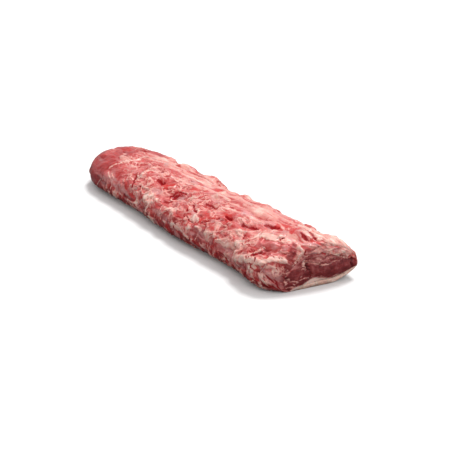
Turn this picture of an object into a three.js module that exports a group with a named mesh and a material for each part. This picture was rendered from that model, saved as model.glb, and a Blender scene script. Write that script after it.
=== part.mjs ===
// A whole beef striploin joint, raw and boned out, lying on its fat cap with the rib side up.
// Millimetres. +X runs along the joint to the cut end, -Y is the near side and +Z is up.
// The joint is a loft: sections across it are superellipses whose sizes change along X. A place on
// its skin is given by "along", the distance in X from the middle of the length, and by "round",
// the distance over the skin from the crown line, which is negative on the near side.
import * as THREE from "three";

// Length of the loft from the blunt tip to the middle of the cut face
const LENGTH = 560;

// Sizes of the section at even steps from the tip to the cut end: how far it reaches from the
// crown line to the near side and to the far side, and how high it stands
const REACH_NEAR = [56, 66, 65, 63, 66, 67, 61, 60, 70];
const REACH_FAR = [64, 70, 68, 67, 70, 70, 69, 72, 75];
const HEIGHT = [55, 56, 56, 59, 53, 56, 57, 57, 64];

// Form of a section: the sideways place of its crown, the height of its widest line as a share
// of the whole, and the roundness of its four quarters (1 is a straight slope, 2 a circle, 4 boxy)
const BODY_FORM = {
  crown: 0,
  waist: 0.37,
  topNear: 2.3,
  topFar: 2.0,
  underNear: 2.8,
  underFar: 2.6,
};
const CUT_FORM = {
  crown: 15,
  waist: 0.33,
  topNear: 1.3,
  topFar: 2.0,
  underNear: 3.5,
  underFar: 1.4,
};
const CUT_SIZE = { near: 52, far: 54.5, height: 51.5 };

// How the ends are rounded: the blunt tip over TIP_LENGTH, the rim of the cut over CUT_ROUND
const TIP_LENGTH = 86;
const TIP_PLAN_ROUNDNESS = 2.3;
const TIP_SIDE_ROUNDNESS = 2.9;
const TIP_HEIGHT = 12;
const TIP_FIRST_ANGLE = 0.14;
const CUT_ROUND = 44;
const CUT_SLANT = 0.09;
const CUT_SLANT_START = 200;
const REST_PRESS = 3;

// The fat cap wraps the underside between two angles of the section, thickest near the middle
const CAP_NEAR_ANGLE = THREE.MathUtils.degToRad(243);
const CAP_FAR_ANGLE = THREE.MathUtils.degToRad(354);
const CAP_THICKNESS = 7;
const CAP_PEAK_SHIFT = 0.8;
const CAP_EDGE_FULLNESS = 0.7;
const GAP = 0.3;

// How finely the skin is faceted
const TIP_RINGS = 16;
const BODY_RING_PITCH = 6.8;
const CUT_RINGS = 9;
const CUT_FACE_RINGS = 9;
const FAR_POINTS = 9;
const TOP_POINTS = 20;
const NEAR_POINTS = 10;
const UNDER_POINTS = 7;
const TOP_FAR_ANGLE = THREE.MathUtils.degToRad(50);
const TOP_NEAR_ANGLE = THREE.MathUtils.degToRad(165);

// Where the relief dies away: beside the edges of the fat cap, towards the tip and at the cut
const RELIEF_FADE = { capEdge: 0.35, tip: 30, cut: 12 };

// Where the middle of the finished box lies in the frame of the loft
const BOX_MIDDLE = { x: 3.5, y: 2.7 };

// Strips of muscle that run along the back half of the top, a little askew
const STRIPS = {
  pitch: 21,
  height: 1.4,
  turn: 11,
  wander: 5,
  wanderPitch: 130,
  from: -14,
  to: 66,
  edge: 14,
};

// Soft lumps and dents all over the skin, placed by a seeded draw
const LUMPS = {
  seed: 71,
  count: 230,
  nearest: -88,
  farthest: 96,
  length: [12, 20],
  width: [8, 13],
  height: [-3, 3],
  turn: [-18, 34],
};

// Hollows where the ribs and the chine were lifted out. A turn lifts the long way of a feature
// from +X towards the far side, in degrees.
const HOLLOWS = [
  { along: 18, round: -36, length: 36, width: 19, depth: 7.5, turn: 25 },
  { along: -39, round: -33, length: 16, width: 12, depth: 5.5, turn: 10 },
  { along: 95, round: -27, length: 32, width: 10, depth: 4.5, turn: 6 },
  { along: 145, round: -30, length: 14, width: 12, depth: 5, turn: 0 },
  { along: 189, round: -25, length: 34, width: 11, depth: 5.5, turn: 20 },
  { along: 208, round: -5, length: 20, width: 11, depth: 4.5, turn: 35 },
  { along: 219, round: 8, length: 30, width: 16, depth: 4, turn: 25 },
  { along: 253, round: -51, length: 28, width: 16, depth: 6.5, turn: 30 },
  { along: 267, round: -6, length: 24, width: 14, depth: 7, turn: 15 },
  { along: 262, round: 27, length: 26, width: 14, depth: 4, turn: 70 },
  { along: 230, round: 54, length: 26, width: 24, depth: 4.5, turn: 60 },
  { along: 276, round: 62, length: 26, width: 18, depth: 3, turn: 90 },
  { along: 42, round: 56, length: 70, width: 26, depth: 5.5, turn: 0 },
  { along: -53, round: 57, length: 22, width: 24, depth: 7, turn: 0 },
  { along: -106, round: 53, length: 44, width: 24, depth: 7, turn: 0 },
  { along: 150, round: 55, length: 20, width: 22, depth: 2.5, turn: 0 },
  { along: -90, round: -51, length: 22, width: 12, depth: 3.5, turn: -60 },
  { along: 78, round: -44, length: 26, width: 14, depth: 3.5, turn: -25 },
  { along: 20, round: -54, length: 28, width: 12, depth: 3, turn: 10 },
  { along: 162, round: 3, length: 40, width: 12, depth: 3, turn: 14 },
  { along: 39, round: 17, length: 20, width: 12, depth: 2.5, turn: 20 },
  { along: -127, round: -25, length: 14, width: 12, depth: 2.5, turn: 40 },
  { along: -174, round: -27, length: 26, width: 13, depth: 2.5, turn: 30 },
];

// Lobes of lean and fat that stand proud of the skin
const LOBES = [
  { along: -164, round: -30, length: 44, width: 14, depth: 2.5, turn: 56 },
  { along: -152, round: -44, length: 28, width: 16, depth: 2, turn: 10 },
  { along: -87, round: -37, length: 24, width: 14, depth: 2, turn: 20 },
  { along: -76, round: 46, length: 26, width: 24, depth: 2.5, turn: 8 },
  { along: -28, round: 52, length: 26, width: 26, depth: 5, turn: 8 },
  { along: 68, round: -31, length: 26, width: 15, depth: 2, turn: 10 },
  { along: 112, round: 12, length: 60, width: 20, depth: 2.5, turn: 13 },
  { along: 121, round: 52, length: 26, width: 22, depth: 3, turn: 0 },
  { along: 180, round: 50, length: 40, width: 22, depth: 1.5, turn: 0 },
  { along: 232, round: -27, length: 34, width: 16, depth: 2, turn: 20 },
  { along: 241, round: -63, length: 62, width: 17, depth: 3.5, turn: 13 },
  { along: 256, round: 12, length: 34, width: 15, depth: 3.5, turn: 60 },
  { along: 272, round: 42, length: 30, width: 18, depth: 2, turn: 60 },
];

// Form of the cut face, in Y and Z: each muscle swells out, and a seam of fat parts them
const CUT_SWELLS = [
  { name: "eye muscle", y: 31, z: 20, width: 56, height: 26, depth: 3 },
  { name: "side muscle", y: -16, z: 21, width: 26, height: 16, depth: 2 },
  { name: "strap muscle", y: -20, z: 8, width: 40, height: 9, depth: 1.5 },
  { name: "cover muscle", y: 18, z: 39, width: 62, height: 15, depth: 1.5 },
];
const CUT_SEAM = { y: -1, z: 25, width: 15, height: 26, depth: -3 };
const CUT_CENTRE = { y: 28, z: 24 };

// A repeatable stream of numbers from 0 up to 1
function makeDraw(seed) {
  const MODULUS = 4294967296;
  let state = seed;
  return () => {
    state = (state * 1664525 + 1013904223) % MODULUS;
    return state / MODULUS;
  };
}

// A value read off an evenly spaced list by a Catmull-Rom curve, for t from 0 to 1
function alongList(values, t) {
  const last = values.length - 1;
  const place = THREE.MathUtils.clamp(t, 0, 1) * last;
  const i = Math.min(Math.floor(place), last - 1);
  const f = place - i;
  const b = values[i];
  const c = values[i + 1];
  const a = i > 0 ? values[i - 1] : 2 * b - c;
  const d = i + 2 <= last ? values[i + 2] : 2 * c - b;
  const slope = c - a;
  const bend = 2 * a - 5 * b + 4 * c - d;
  const twist = 3 * b - a - 3 * c + d;
  return 0.5 * (2 * b + slope * f + bend * f * f + twist * f * f * f);
}

// How full a rounded end is, from 0 at the very end to 1 at the end of the rounding
function endFullness(share, roundness) {
  const rest = 1 - THREE.MathUtils.clamp(share, 0, 1);
  return Math.pow(Math.max(1 - Math.pow(rest, roundness), 0), 1 / roundness);
}

// All the sizes of the section at x
function sectionAt(x) {
  const t = x / LENGTH + 0.5;
  const inRim = THREE.MathUtils.clamp(1 - (LENGTH / 2 - x) / CUT_ROUND, 0, 1);
  const cut = 1 - Math.sqrt(1 - inRim * inRim);
  const mix = (body, face) => THREE.MathUtils.lerp(body, face, cut);
  const fromTip = (x + LENGTH / 2) / TIP_LENGTH;
  const section = {
    x,
    near: mix(alongList(REACH_NEAR, t), CUT_SIZE.near),
    far: mix(alongList(REACH_FAR, t), CUT_SIZE.far),
    height: mix(alongList(HEIGHT, t), CUT_SIZE.height),
    plan: endFullness(fromTip, TIP_PLAN_ROUNDNESS),
    side: endFullness(fromTip, TIP_SIDE_ROUNDNESS),
  };
  for (const key of Object.keys(BODY_FORM)) {
    section[key] = mix(BODY_FORM[key], CUT_FORM[key]);
  }
  return section;
}

// The skin point of a section at an angle: 0 is the far side, 90 degrees the crown
function skinPoint(section, angle) {
  const across = Math.cos(angle);
  const up = Math.sin(angle);
  const isNear = across < 0;
  const topRoundness = isNear ? section.topNear : section.topFar;
  const underRoundness = isNear ? section.underNear : section.underFar;
  const power = 2 / (up >= 0 ? topRoundness : underRoundness);
  const reach = isNear ? section.near : section.far;
  const waist = section.waist * section.height;
  const rise = up >= 0 ? section.height - waist : waist + REST_PRESS;
  const y = section.crown + Math.sign(across) * reach * Math.pow(Math.abs(across), power);
  const z = Math.max(waist + Math.sign(up) * rise * Math.pow(Math.abs(up), power), 0);
  const slant = CUT_SLANT * THREE.MathUtils.smoothstep(section.x, CUT_SLANT_START, LENGTH / 2);
  const yInTip = section.crown + (y - section.crown) * section.plan;
  const zInTip = TIP_HEIGHT + (z - TIP_HEIGHT) * section.side;
  return new THREE.Vector3(section.x + slant * yInTip, yInTip, zInTip);
}

// Even steps from one value to another, leaving out the last value
function steps(from, to, count) {
  return Array.from({ length: count }, (_, i) => from + ((to - from) * i) / count);
}

// Places of the rings along X, closer together where the ends are rounded
function ringPlaces() {
  const tipEnd = -LENGTH / 2 + TIP_LENGTH;
  const rimStart = LENGTH / 2 - CUT_ROUND;
  const bodyRings = Math.round((rimStart - tipEnd) / BODY_RING_PITCH);
  const tip = steps(TIP_FIRST_ANGLE, Math.PI / 2, TIP_RINGS).map(
    (angle) => tipEnd - TIP_LENGTH * Math.cos(angle),
  );
  const rim = steps(0, Math.PI / 2, CUT_RINGS).map((angle) => rimStart + CUT_ROUND * Math.sin(angle));
  return [...tip, ...steps(tipEnd, rimStart, bodyRings), ...rim, LENGTH / 2];
}

// Angles of the bare skin, from the far edge of the fat cap over the crown to its near edge
function skinAngles() {
  const start = CAP_FAR_ANGLE - 2 * Math.PI;
  return [
    ...steps(start, TOP_FAR_ANGLE, FAR_POINTS),
    ...steps(TOP_FAR_ANGLE, TOP_NEAR_ANGLE, TOP_POINTS),
    ...steps(TOP_NEAR_ANGLE, CAP_NEAR_ANGLE, NEAR_POINTS),
    CAP_NEAR_ANGLE,
  ];
}

// A smooth hill of unit height that is gone at its rim: a and b are shares of its half sizes
function hill(a, b) {
  const rest = Math.max(1 - a * a - b * b, 0);
  return rest * rest;
}

// The rise of one feature at a place on the skin
function featureRise(feature, along, round) {
  const turn = THREE.MathUtils.degToRad(feature.turn);
  const dx = along - feature.along;
  const dr = round - feature.round;
  const lengthways = dx * Math.cos(turn) + dr * Math.sin(turn);
  const crossways = dr * Math.cos(turn) - dx * Math.sin(turn);
  return feature.depth * hill(lengthways / feature.length, crossways / feature.width);
}

// The seeded lumps, each written as a feature
function drawLumps() {
  const draw = makeDraw(LUMPS.seed);
  const between = (range) => range[0] + (range[1] - range[0]) * draw();
  return Array.from({ length: LUMPS.count }, () => ({
    along: between([-LENGTH / 2, LENGTH / 2]),
    round: between([LUMPS.nearest, LUMPS.farthest]),
    length: between(LUMPS.length),
    width: between(LUMPS.width),
    depth: between(LUMPS.height),
    turn: between(LUMPS.turn),
  }));
}

const PROUD_FEATURES = [...drawLumps(), ...LOBES];

// The rise of the muscle strips: rounded backs with narrow furrows between them
function stripRise(along, round) {
  const turn = THREE.MathUtils.degToRad(STRIPS.turn);
  const wander = STRIPS.wander * Math.sin((2 * Math.PI * along) / STRIPS.wanderPitch);
  const across = round * Math.cos(turn) - along * Math.sin(turn) + wander;
  const back = Math.abs(Math.sin((Math.PI * across) / STRIPS.pitch)) - 2 / Math.PI;
  const inBand =
    THREE.MathUtils.smoothstep(round, STRIPS.from, STRIPS.from + STRIPS.edge) *
    (1 - THREE.MathUtils.smoothstep(round, STRIPS.to - STRIPS.edge, STRIPS.to));
  return STRIPS.height * 2 * back * inBand;
}

// The whole rise of the skin over the smooth loft
function skinRise(along, round) {
  let rise = stripRise(along, round);
  for (const lobe of PROUD_FEATURES) {
    rise += featureRise(lobe, along, round);
  }
  for (const hollow of HOLLOWS) {
    rise -= featureRise(hollow, along, round);
  }
  return rise;
}

// Distances over the skin from the crown line to each point of a ring
function roundDistances(points, angles) {
  const crownIndex = angles.findIndex((angle) => angle >= Math.PI / 2);
  const travelled = [0];
  for (let i = 1; i < points.length; i += 1) {
    travelled.push(travelled[i - 1] + points[i].distanceTo(points[i - 1]));
  }
  return travelled.map((distance) => travelled[crownIndex] - distance);
}

// The outward direction of a grid of points at one of them
function outward(rings, r, p) {
  const before = rings[Math.max(r - 1, 0)][p];
  const after = rings[Math.min(r + 1, rings.length - 1)][p];
  const ring = rings[r];
  const previous = ring[Math.max(p - 1, 0)];
  const next = ring[Math.min(p + 1, ring.length - 1)];
  const lengthways = after.clone().sub(before);
  const crossways = next.clone().sub(previous);
  return crossways.cross(lengthways).normalize();
}

// The skin of the lean with its relief
function raisedSkin(sections, angles) {
  const smoothRings = sections.map((section) => angles.map((angle) => skinPoint(section, angle)));
  const first = angles[0];
  const last = angles[angles.length - 1];
  return smoothRings.map((ring, r) => {
    const rounds = roundDistances(ring, angles);
    const fromTip = sections[r].x + LENGTH / 2;
    const fromCut = LENGTH / 2 - sections[r].x;
    const endFade =
      THREE.MathUtils.smoothstep(fromTip, 0, RELIEF_FADE.tip) *
      THREE.MathUtils.smoothstep(fromCut, 0, RELIEF_FADE.cut);
    return ring.map((point, p) => {
      const fromEdge = Math.min(angles[p] - first, last - angles[p]);
      const fade = endFade * THREE.MathUtils.smoothstep(fromEdge, 0, RELIEF_FADE.capEdge);
      const rise = skinRise(point.x, rounds[p]) * fade;
      return point.clone().addScaledVector(outward(smoothRings, r, p), rise);
    });
  });
}

// The fat cap's outside and inside at one section, and the underside of the lean above it
function capCurves(section) {
  const SMALL = 0.01;
  const outside = [];
  const inside = [];
  const leanUnder = [];
  for (let i = 0; i <= UNDER_POINTS; i += 1) {
    const share = i / UNDER_POINTS;
    const angle = THREE.MathUtils.lerp(CAP_NEAR_ANGLE, CAP_FAR_ANGLE, share);
    const point = skinPoint(section, angle);
    const way = skinPoint(section, angle + SMALL).sub(skinPoint(section, angle - SMALL));
    const inward = new THREE.Vector3(0, -way.z, way.y).normalize();
    const swell = Math.sin(Math.PI * Math.pow(share, CAP_PEAK_SHIFT));
    const depth = CAP_THICKNESS * Math.pow(Math.max(swell, 0), CAP_EDGE_FULLNESS) * section.side;
    const thickness = i === 0 || i === UNDER_POINTS ? 0 : depth;
    outside.push(point);
    inside.push(point.clone().addScaledVector(inward, thickness));
    leanUnder.push(point.clone().addScaledVector(inward, thickness + GAP));
  }
  return { outside, inside, leanUnder };
}

// A closed body from triangles of points, each point shared by all the faces that meet there
class Skin {
  constructor() {
    this.positions = [];
    this.faces = [];
  }

  add(point) {
    this.positions.push(point.x, point.y, point.z);
    return this.positions.length / 3 - 1;
  }

  addRing(points) {
    return points.map((point) => this.add(point));
  }

  // Joins two closed rings with the same number of points, the first one nearer the tip. The cut
  // across each quad leans one way or the other, so that two bodies that face each other match.
  joinRings(a, b, leansBack = false) {
    for (let i = 0; i < a.length; i += 1) {
      const j = (i + 1) % a.length;
      const quad = leansBack
        ? [a[i], a[j], b[i], a[j], b[j], b[i]]
        : [a[i], a[j], b[j], a[i], b[j], b[i]];
      this.faces.push(...quad);
    }
  }

  // Closes a ring with a fan of triangles to one point
  closeRing(ring, tip, isFirst) {
    for (let i = 0; i < ring.length; i += 1) {
      const j = (i + 1) % ring.length;
      this.faces.push(...(isFirst ? [ring[j], ring[i], tip] : [ring[i], ring[j], tip]));
    }
  }

  // Closes a thin ring whose second half runs back beside its first half
  closeStrip(ring, isFirst) {
    const half = ring.length / 2;
    const facet = (a, b, c) => this.faces.push(...(isFirst ? [a, c, b] : [a, b, c]));
    for (let i = 0; i < half; i += 1) {
      const out = ring[i];
      const outNext = ring[i + 1];
      const back = ring[(ring.length - i) % ring.length];
      const backNext = ring[ring.length - i - 1];
      if (i > 0) {
        facet(out, outNext, back);
      }
      if (i < half - 1) {
        facet(outNext, backNext, back);
      }
    }
  }

  geometry() {
    const geometry = new THREE.BufferGeometry();
    geometry.setAttribute("position", new THREE.Float32BufferAttribute(this.positions, 3));
    geometry.setIndex(this.faces);
    return geometry;
  }
}

// How far the cut face swells out at a place on it
function cutSwell(y, z) {
  const swell = (form) => form.depth * hill((y - form.y) / form.width, (z - form.z) / form.height);
  return CUT_SWELLS.reduce((sum, form) => sum + swell(form), swell(CUT_SEAM));
}

// The lean: relief on the skin, a flatter underside above the fat, and the cut face
function leanGeometry(sections, angles) {
  const skinRings = raisedSkin(sections, angles);
  const rings = sections.map((section, r) => {
    const under = capCurves(section).leanUnder;
    return [...skinRings[r].slice(1, -1), ...under];
  });
  const skin = new Skin();
  const indexRings = rings.map((ring) => skin.addRing(ring));
  for (let r = 1; r < indexRings.length; r += 1) {
    skin.joinRings(indexRings[r - 1], indexRings[r]);
  }
  const tipPoint = new THREE.Vector3(-LENGTH / 2, 0, TIP_HEIGHT);
  skin.closeRing(indexRings[0], skin.add(tipPoint), true);
  closeCutFace(skin, rings[rings.length - 1], indexRings[indexRings.length - 1]);
  return skin.geometry();
}

// Smaller and smaller copies of the rim, pushed out by the swell of the muscles
function closeCutFace(skin, rim, rimIndices) {
  const place = (y, z) => new THREE.Vector3(LENGTH / 2 + CUT_SLANT * y + cutSwell(y, z), y, z);
  let outer = rimIndices;
  for (let k = 1; k < CUT_FACE_RINGS; k += 1) {
    const share = k / CUT_FACE_RINGS;
    const ring = rim.map((point) => {
      const y = THREE.MathUtils.lerp(point.y, CUT_CENTRE.y, share);
      const z = THREE.MathUtils.lerp(point.z, CUT_CENTRE.z, share);
      return place(y, z);
    });
    const inner = skin.addRing(ring);
    skin.joinRings(outer, inner);
    outer = inner;
  }
  skin.closeRing(outer, skin.add(place(CUT_CENTRE.y, CUT_CENTRE.z)), false);
}

// The fat cap: a sheet under the lean, flat where it rests and curling up the far side
function fatCapGeometry(sections) {
  const skin = new Skin();
  const indexRings = sections.map((section) => {
    const { outside, inside } = capCurves(section);
    return skin.addRing([...outside, ...inside.slice(1, -1).reverse()]);
  });
  for (let r = 1; r < indexRings.length; r += 1) {
    skin.joinRings(indexRings[r - 1], indexRings[r], true);
  }
  skin.closeStrip(indexRings[0], true);
  skin.closeStrip(indexRings[indexRings.length - 1], false);
  return skin.geometry();
}

// Materials
const leanMaterial = new THREE.MeshStandardMaterial({ color: 0xbe6c68, roughness: 0.4, metalness: 0 });
const fatMaterial = new THREE.MeshStandardMaterial({ color: 0xecd3c4, roughness: 0.5, metalness: 0 });

// Assembly
const sections = ringPlaces().map(sectionAt);
const angles = skinAngles();

const lean = new THREE.Mesh(leanGeometry(sections, angles), leanMaterial);
lean.name = "lean";

const fatCap = new THREE.Mesh(fatCapGeometry(sections), fatMaterial);
fatCap.name = "fat_cap";

const beefJoint = new THREE.Group();
beefJoint.name = "beef_joint";
beefJoint.add(lean, fatCap);
beefJoint.position.set(-BOX_MIDDLE.x, -BOX_MIDDLE.y, 0);

export default beefJoint;
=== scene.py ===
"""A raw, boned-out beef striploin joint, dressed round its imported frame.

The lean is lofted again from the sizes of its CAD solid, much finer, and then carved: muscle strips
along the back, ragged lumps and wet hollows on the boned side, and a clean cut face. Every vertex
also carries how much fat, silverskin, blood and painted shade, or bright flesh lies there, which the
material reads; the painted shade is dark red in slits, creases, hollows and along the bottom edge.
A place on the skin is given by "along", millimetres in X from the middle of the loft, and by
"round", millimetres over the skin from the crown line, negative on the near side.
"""

import logging
import math
from dataclasses import dataclass, field
from enum import Enum
from typing import Any, Dict, List, Optional, Sequence, Tuple, Union

import bpy
import numpy as np
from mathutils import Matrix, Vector


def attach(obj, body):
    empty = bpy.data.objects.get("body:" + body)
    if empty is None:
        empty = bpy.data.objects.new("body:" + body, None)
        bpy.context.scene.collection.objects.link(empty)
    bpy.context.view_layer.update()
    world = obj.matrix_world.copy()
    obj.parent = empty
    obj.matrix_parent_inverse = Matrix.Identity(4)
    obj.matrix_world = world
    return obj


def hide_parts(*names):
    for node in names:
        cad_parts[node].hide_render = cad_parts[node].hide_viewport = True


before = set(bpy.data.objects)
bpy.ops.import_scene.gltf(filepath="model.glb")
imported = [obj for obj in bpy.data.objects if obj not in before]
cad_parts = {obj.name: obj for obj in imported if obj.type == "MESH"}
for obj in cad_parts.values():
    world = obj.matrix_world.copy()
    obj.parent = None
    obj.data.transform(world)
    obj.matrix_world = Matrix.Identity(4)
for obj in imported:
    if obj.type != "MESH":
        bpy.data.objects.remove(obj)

LOG = logging.getLogger("beef_joint")
MM = 0.001
Array = np.ndarray
Colour = Tuple[float, float, float, float]


def linear(hex_colour: str) -> Colour:
    """Turns an sRGB hex colour into a linear one.

    Args:
        hex_colour: six hex digits with a leading hash.

    Returns:
        Red, green, blue and alpha.
    """
    digits = hex_colour.lstrip("#")
    shares = [int(digits[i:i + 2], 16) / 255 for i in (0, 2, 4)]
    red, green, blue = (s / 12.92 if s <= 0.04045 else ((s + 0.055) / 1.055) ** 2.4 for s in shares)
    return red, green, blue, 1.0


def smoothstep(value: Array, low: float, high: float) -> Array:
    """A smooth climb from 0 at low to 1 at high."""
    t = np.clip((value - low) / (high - low), 0, 1)
    return t * t * (3 - 2 * t)


def hill(a: Array, b: Array) -> Array:
    """A smooth hill of unit height that is gone at its rim."""
    return np.maximum(1 - a * a - b * b, 0) ** 2


class Noise:
    """Repeatable smooth noise on a plane."""

    SIZE = 256

    def __init__(self, seed: int) -> None:
        """Draws the lattice from the seed."""
        draw = np.random.default_rng(seed)
        self.order = draw.permutation(self.SIZE)
        turns = draw.uniform(0, 2 * math.pi, self.SIZE)
        self.slopes = np.stack([np.cos(turns), np.sin(turns)], axis=-1)

    def _corner(self, ix: Array, iy: Array) -> Array:
        """The lattice entry of a corner."""
        return self.order[(self.order[ix % self.SIZE] + iy) % self.SIZE]

    def plain(self, x: Array, y: Array) -> Array:
        """One layer of gradient noise.

        Args:
            x: places across, in noise cells.
            y: places up, in noise cells.

        Returns:
            Noise from about -1 to 1.
        """
        ix, iy = np.floor(x).astype(int), np.floor(y).astype(int)
        fx, fy = x - ix, y - iy
        wx = fx ** 3 * (fx * (fx * 6 - 15) + 10)
        wy = fy ** 3 * (fy * (fy * 6 - 15) + 10)
        total = np.zeros_like(fx)
        for dx in (0, 1):
            for dy in (0, 1):
                slope = self.slopes[self._corner(ix + dx, iy + dy)]
                pull = slope[..., 0] * (fx - dx) + slope[..., 1] * (fy - dy)
                total += pull * (wx if dx else 1 - wx) * (wy if dy else 1 - wy)
        return total * 1.45

    def layered(self, x: Array, y: Array, layers: int = 3, gain: float = 0.55) -> Array:
        """Several layers of noise, each twice as fine as the last.

        Args:
            x: places across, in cells of the coarsest layer.
            y: places up, in cells of the coarsest layer.
            layers: how many layers are added.
            gain: strength of each layer against the one before.

        Returns:
            Noise from about -1 to 1.
        """
        total = np.zeros_like(x)
        for k in range(layers):
            total += gain ** k * self.plain(x * 2 ** k + 17.3 * k, y * 2 ** k - 9.1 * k)
        return total / math.sqrt(sum(gain ** (2 * k) for k in range(layers)))

    def crests(self, x: Array, y: Array, layers: int = 2) -> Array:
        """Folds: 1 along curving crests, falling steeply at first to about 0 between them."""
        return np.maximum(1 - np.abs(self.layered(x, y, layers)) / 0.9, 0)

    def ridges(self, x: Array, y: Array, layers: int = 2, width: float = 0.45) -> Array:
        """Curving threads where the noise crosses zero.

        Args:
            x: places across, in cells of the coarsest layer.
            y: places up, in cells of the coarsest layer.
            layers: how many layers the noise has.
            width: how wide the threads are, as a part of the noise's height.

        Returns:
            1 along a thread's middle, falling to 0 at its edge.
        """
        share = np.maximum(1 - np.abs(self.layered(x, y, layers)) / width, 0)
        return share * share * (3 - 2 * share)

    def cells(self, x: Array, y: Array) -> Tuple[Array, Array, Array]:
        """Random cells, as in a patch of pebbles.

        Args:
            x: places across, in cells.
            y: places up, in cells.

        Returns:
            Distance to the nearest centre, to the second nearest, and the nearest cell's number.
        """
        ix, iy = np.floor(x).astype(int), np.floor(y).astype(int)
        first, second = np.full(x.shape, 9.0), np.full(x.shape, 9.0)
        number = np.zeros(x.shape)
        for dx in (-1, 0, 1):
            for dy in (-1, 0, 1):
                corner = self._corner(ix + dx, iy + dy)
                place = 0.5 + 0.42 * self.slopes[corner]
                gap = np.hypot(ix + dx + place[..., 0] - x, iy + dy + place[..., 1] - y)
                closer = gap < first
                second = np.where(closer, first, np.minimum(second, gap))
                first = np.where(closer, gap, first)
                number = np.where(closer, corner / self.SIZE, number)
        return first, second, number


def turned(along: Array, round_: Array, degrees: float, run: float, pitch: float) -> Tuple[Array, Array]:
    """Places measured along and across a turned direction.

    Args:
        along: places along the joint, in millimetres.
        round_: places round the joint, in millimetres.
        degrees: turn of the direction from +X.
        run: millimetres in one step along the direction.
        pitch: millimetres in one step across it.

    Returns:
        Steps along and steps across.
    """
    turn = math.radians(degrees)
    lengthways = along * math.cos(turn) + round_ * math.sin(turn)
    crossways = round_ * math.cos(turn) - along * math.sin(turn)
    return lengthways / run, crossways / pitch


@dataclass(frozen=True)
class Mark:
    """One feature of the skin: where it lies, its half sizes, its depth and its turn from +X."""

    along: float
    round: float
    length: float
    width: float
    depth: float
    turn: float = 0.0

    def share(self, along: Array, round_: Array) -> Array:
        """How far each place is inside the mark, from 0 at its rim to 1 at its middle."""
        u, v = turned(along - self.along, round_ - self.round, self.turn, self.length, self.width)
        return hill(u, v)


@dataclass(frozen=True)
class Stroke:
    """A line of tissue: its points, on the skin or on the cut face, and its half width."""

    points: Tuple[Tuple[float, float], ...]
    width: float

    def distance(self, a: Array, b: Array) -> Array:
        """How far places lie from the line.

        Args:
            a: places along, or across the cut face.
            b: places round, or up the cut face.

        Returns:
            The distances, in millimetres.
        """
        nearest = np.full(a.shape, 99.0)
        for (a0, b0), (a1, b1) in zip(self.points, self.points[1:]):
            run = np.array([a1 - a0, b1 - b0])
            t = np.clip(((a - a0) * run[0] + (b - b0) * run[1]) / (run @ run), 0, 1)
            nearest = np.minimum(nearest, np.hypot(a - a0 - t * run[0], b - b0 - t * run[1]))
        return nearest

    def share(self, a: Array, b: Array) -> Array:
        """How strongly the line shows: 1 on it, falling softly to 0 beyond its width."""
        return np.exp(-(self.distance(a, b) / self.width) ** 2)


class Tissue(Enum):
    """What the surface is made of where it isn't plain lean."""

    FAT = "fat"
    SILVERSKIN = "silverskin"
    BLOOD_AND_SHADE = "blood_and_shade"
    BRIGHT = "bright"
    BARE = "bare"


@dataclass(frozen=True)
class Form:
    """Form of a section: crown's place, waist's height and the roundness of its four quarters."""

    crown: float
    waist: float
    top_near: float
    top_far: float
    under_near: float
    under_far: float


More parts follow.
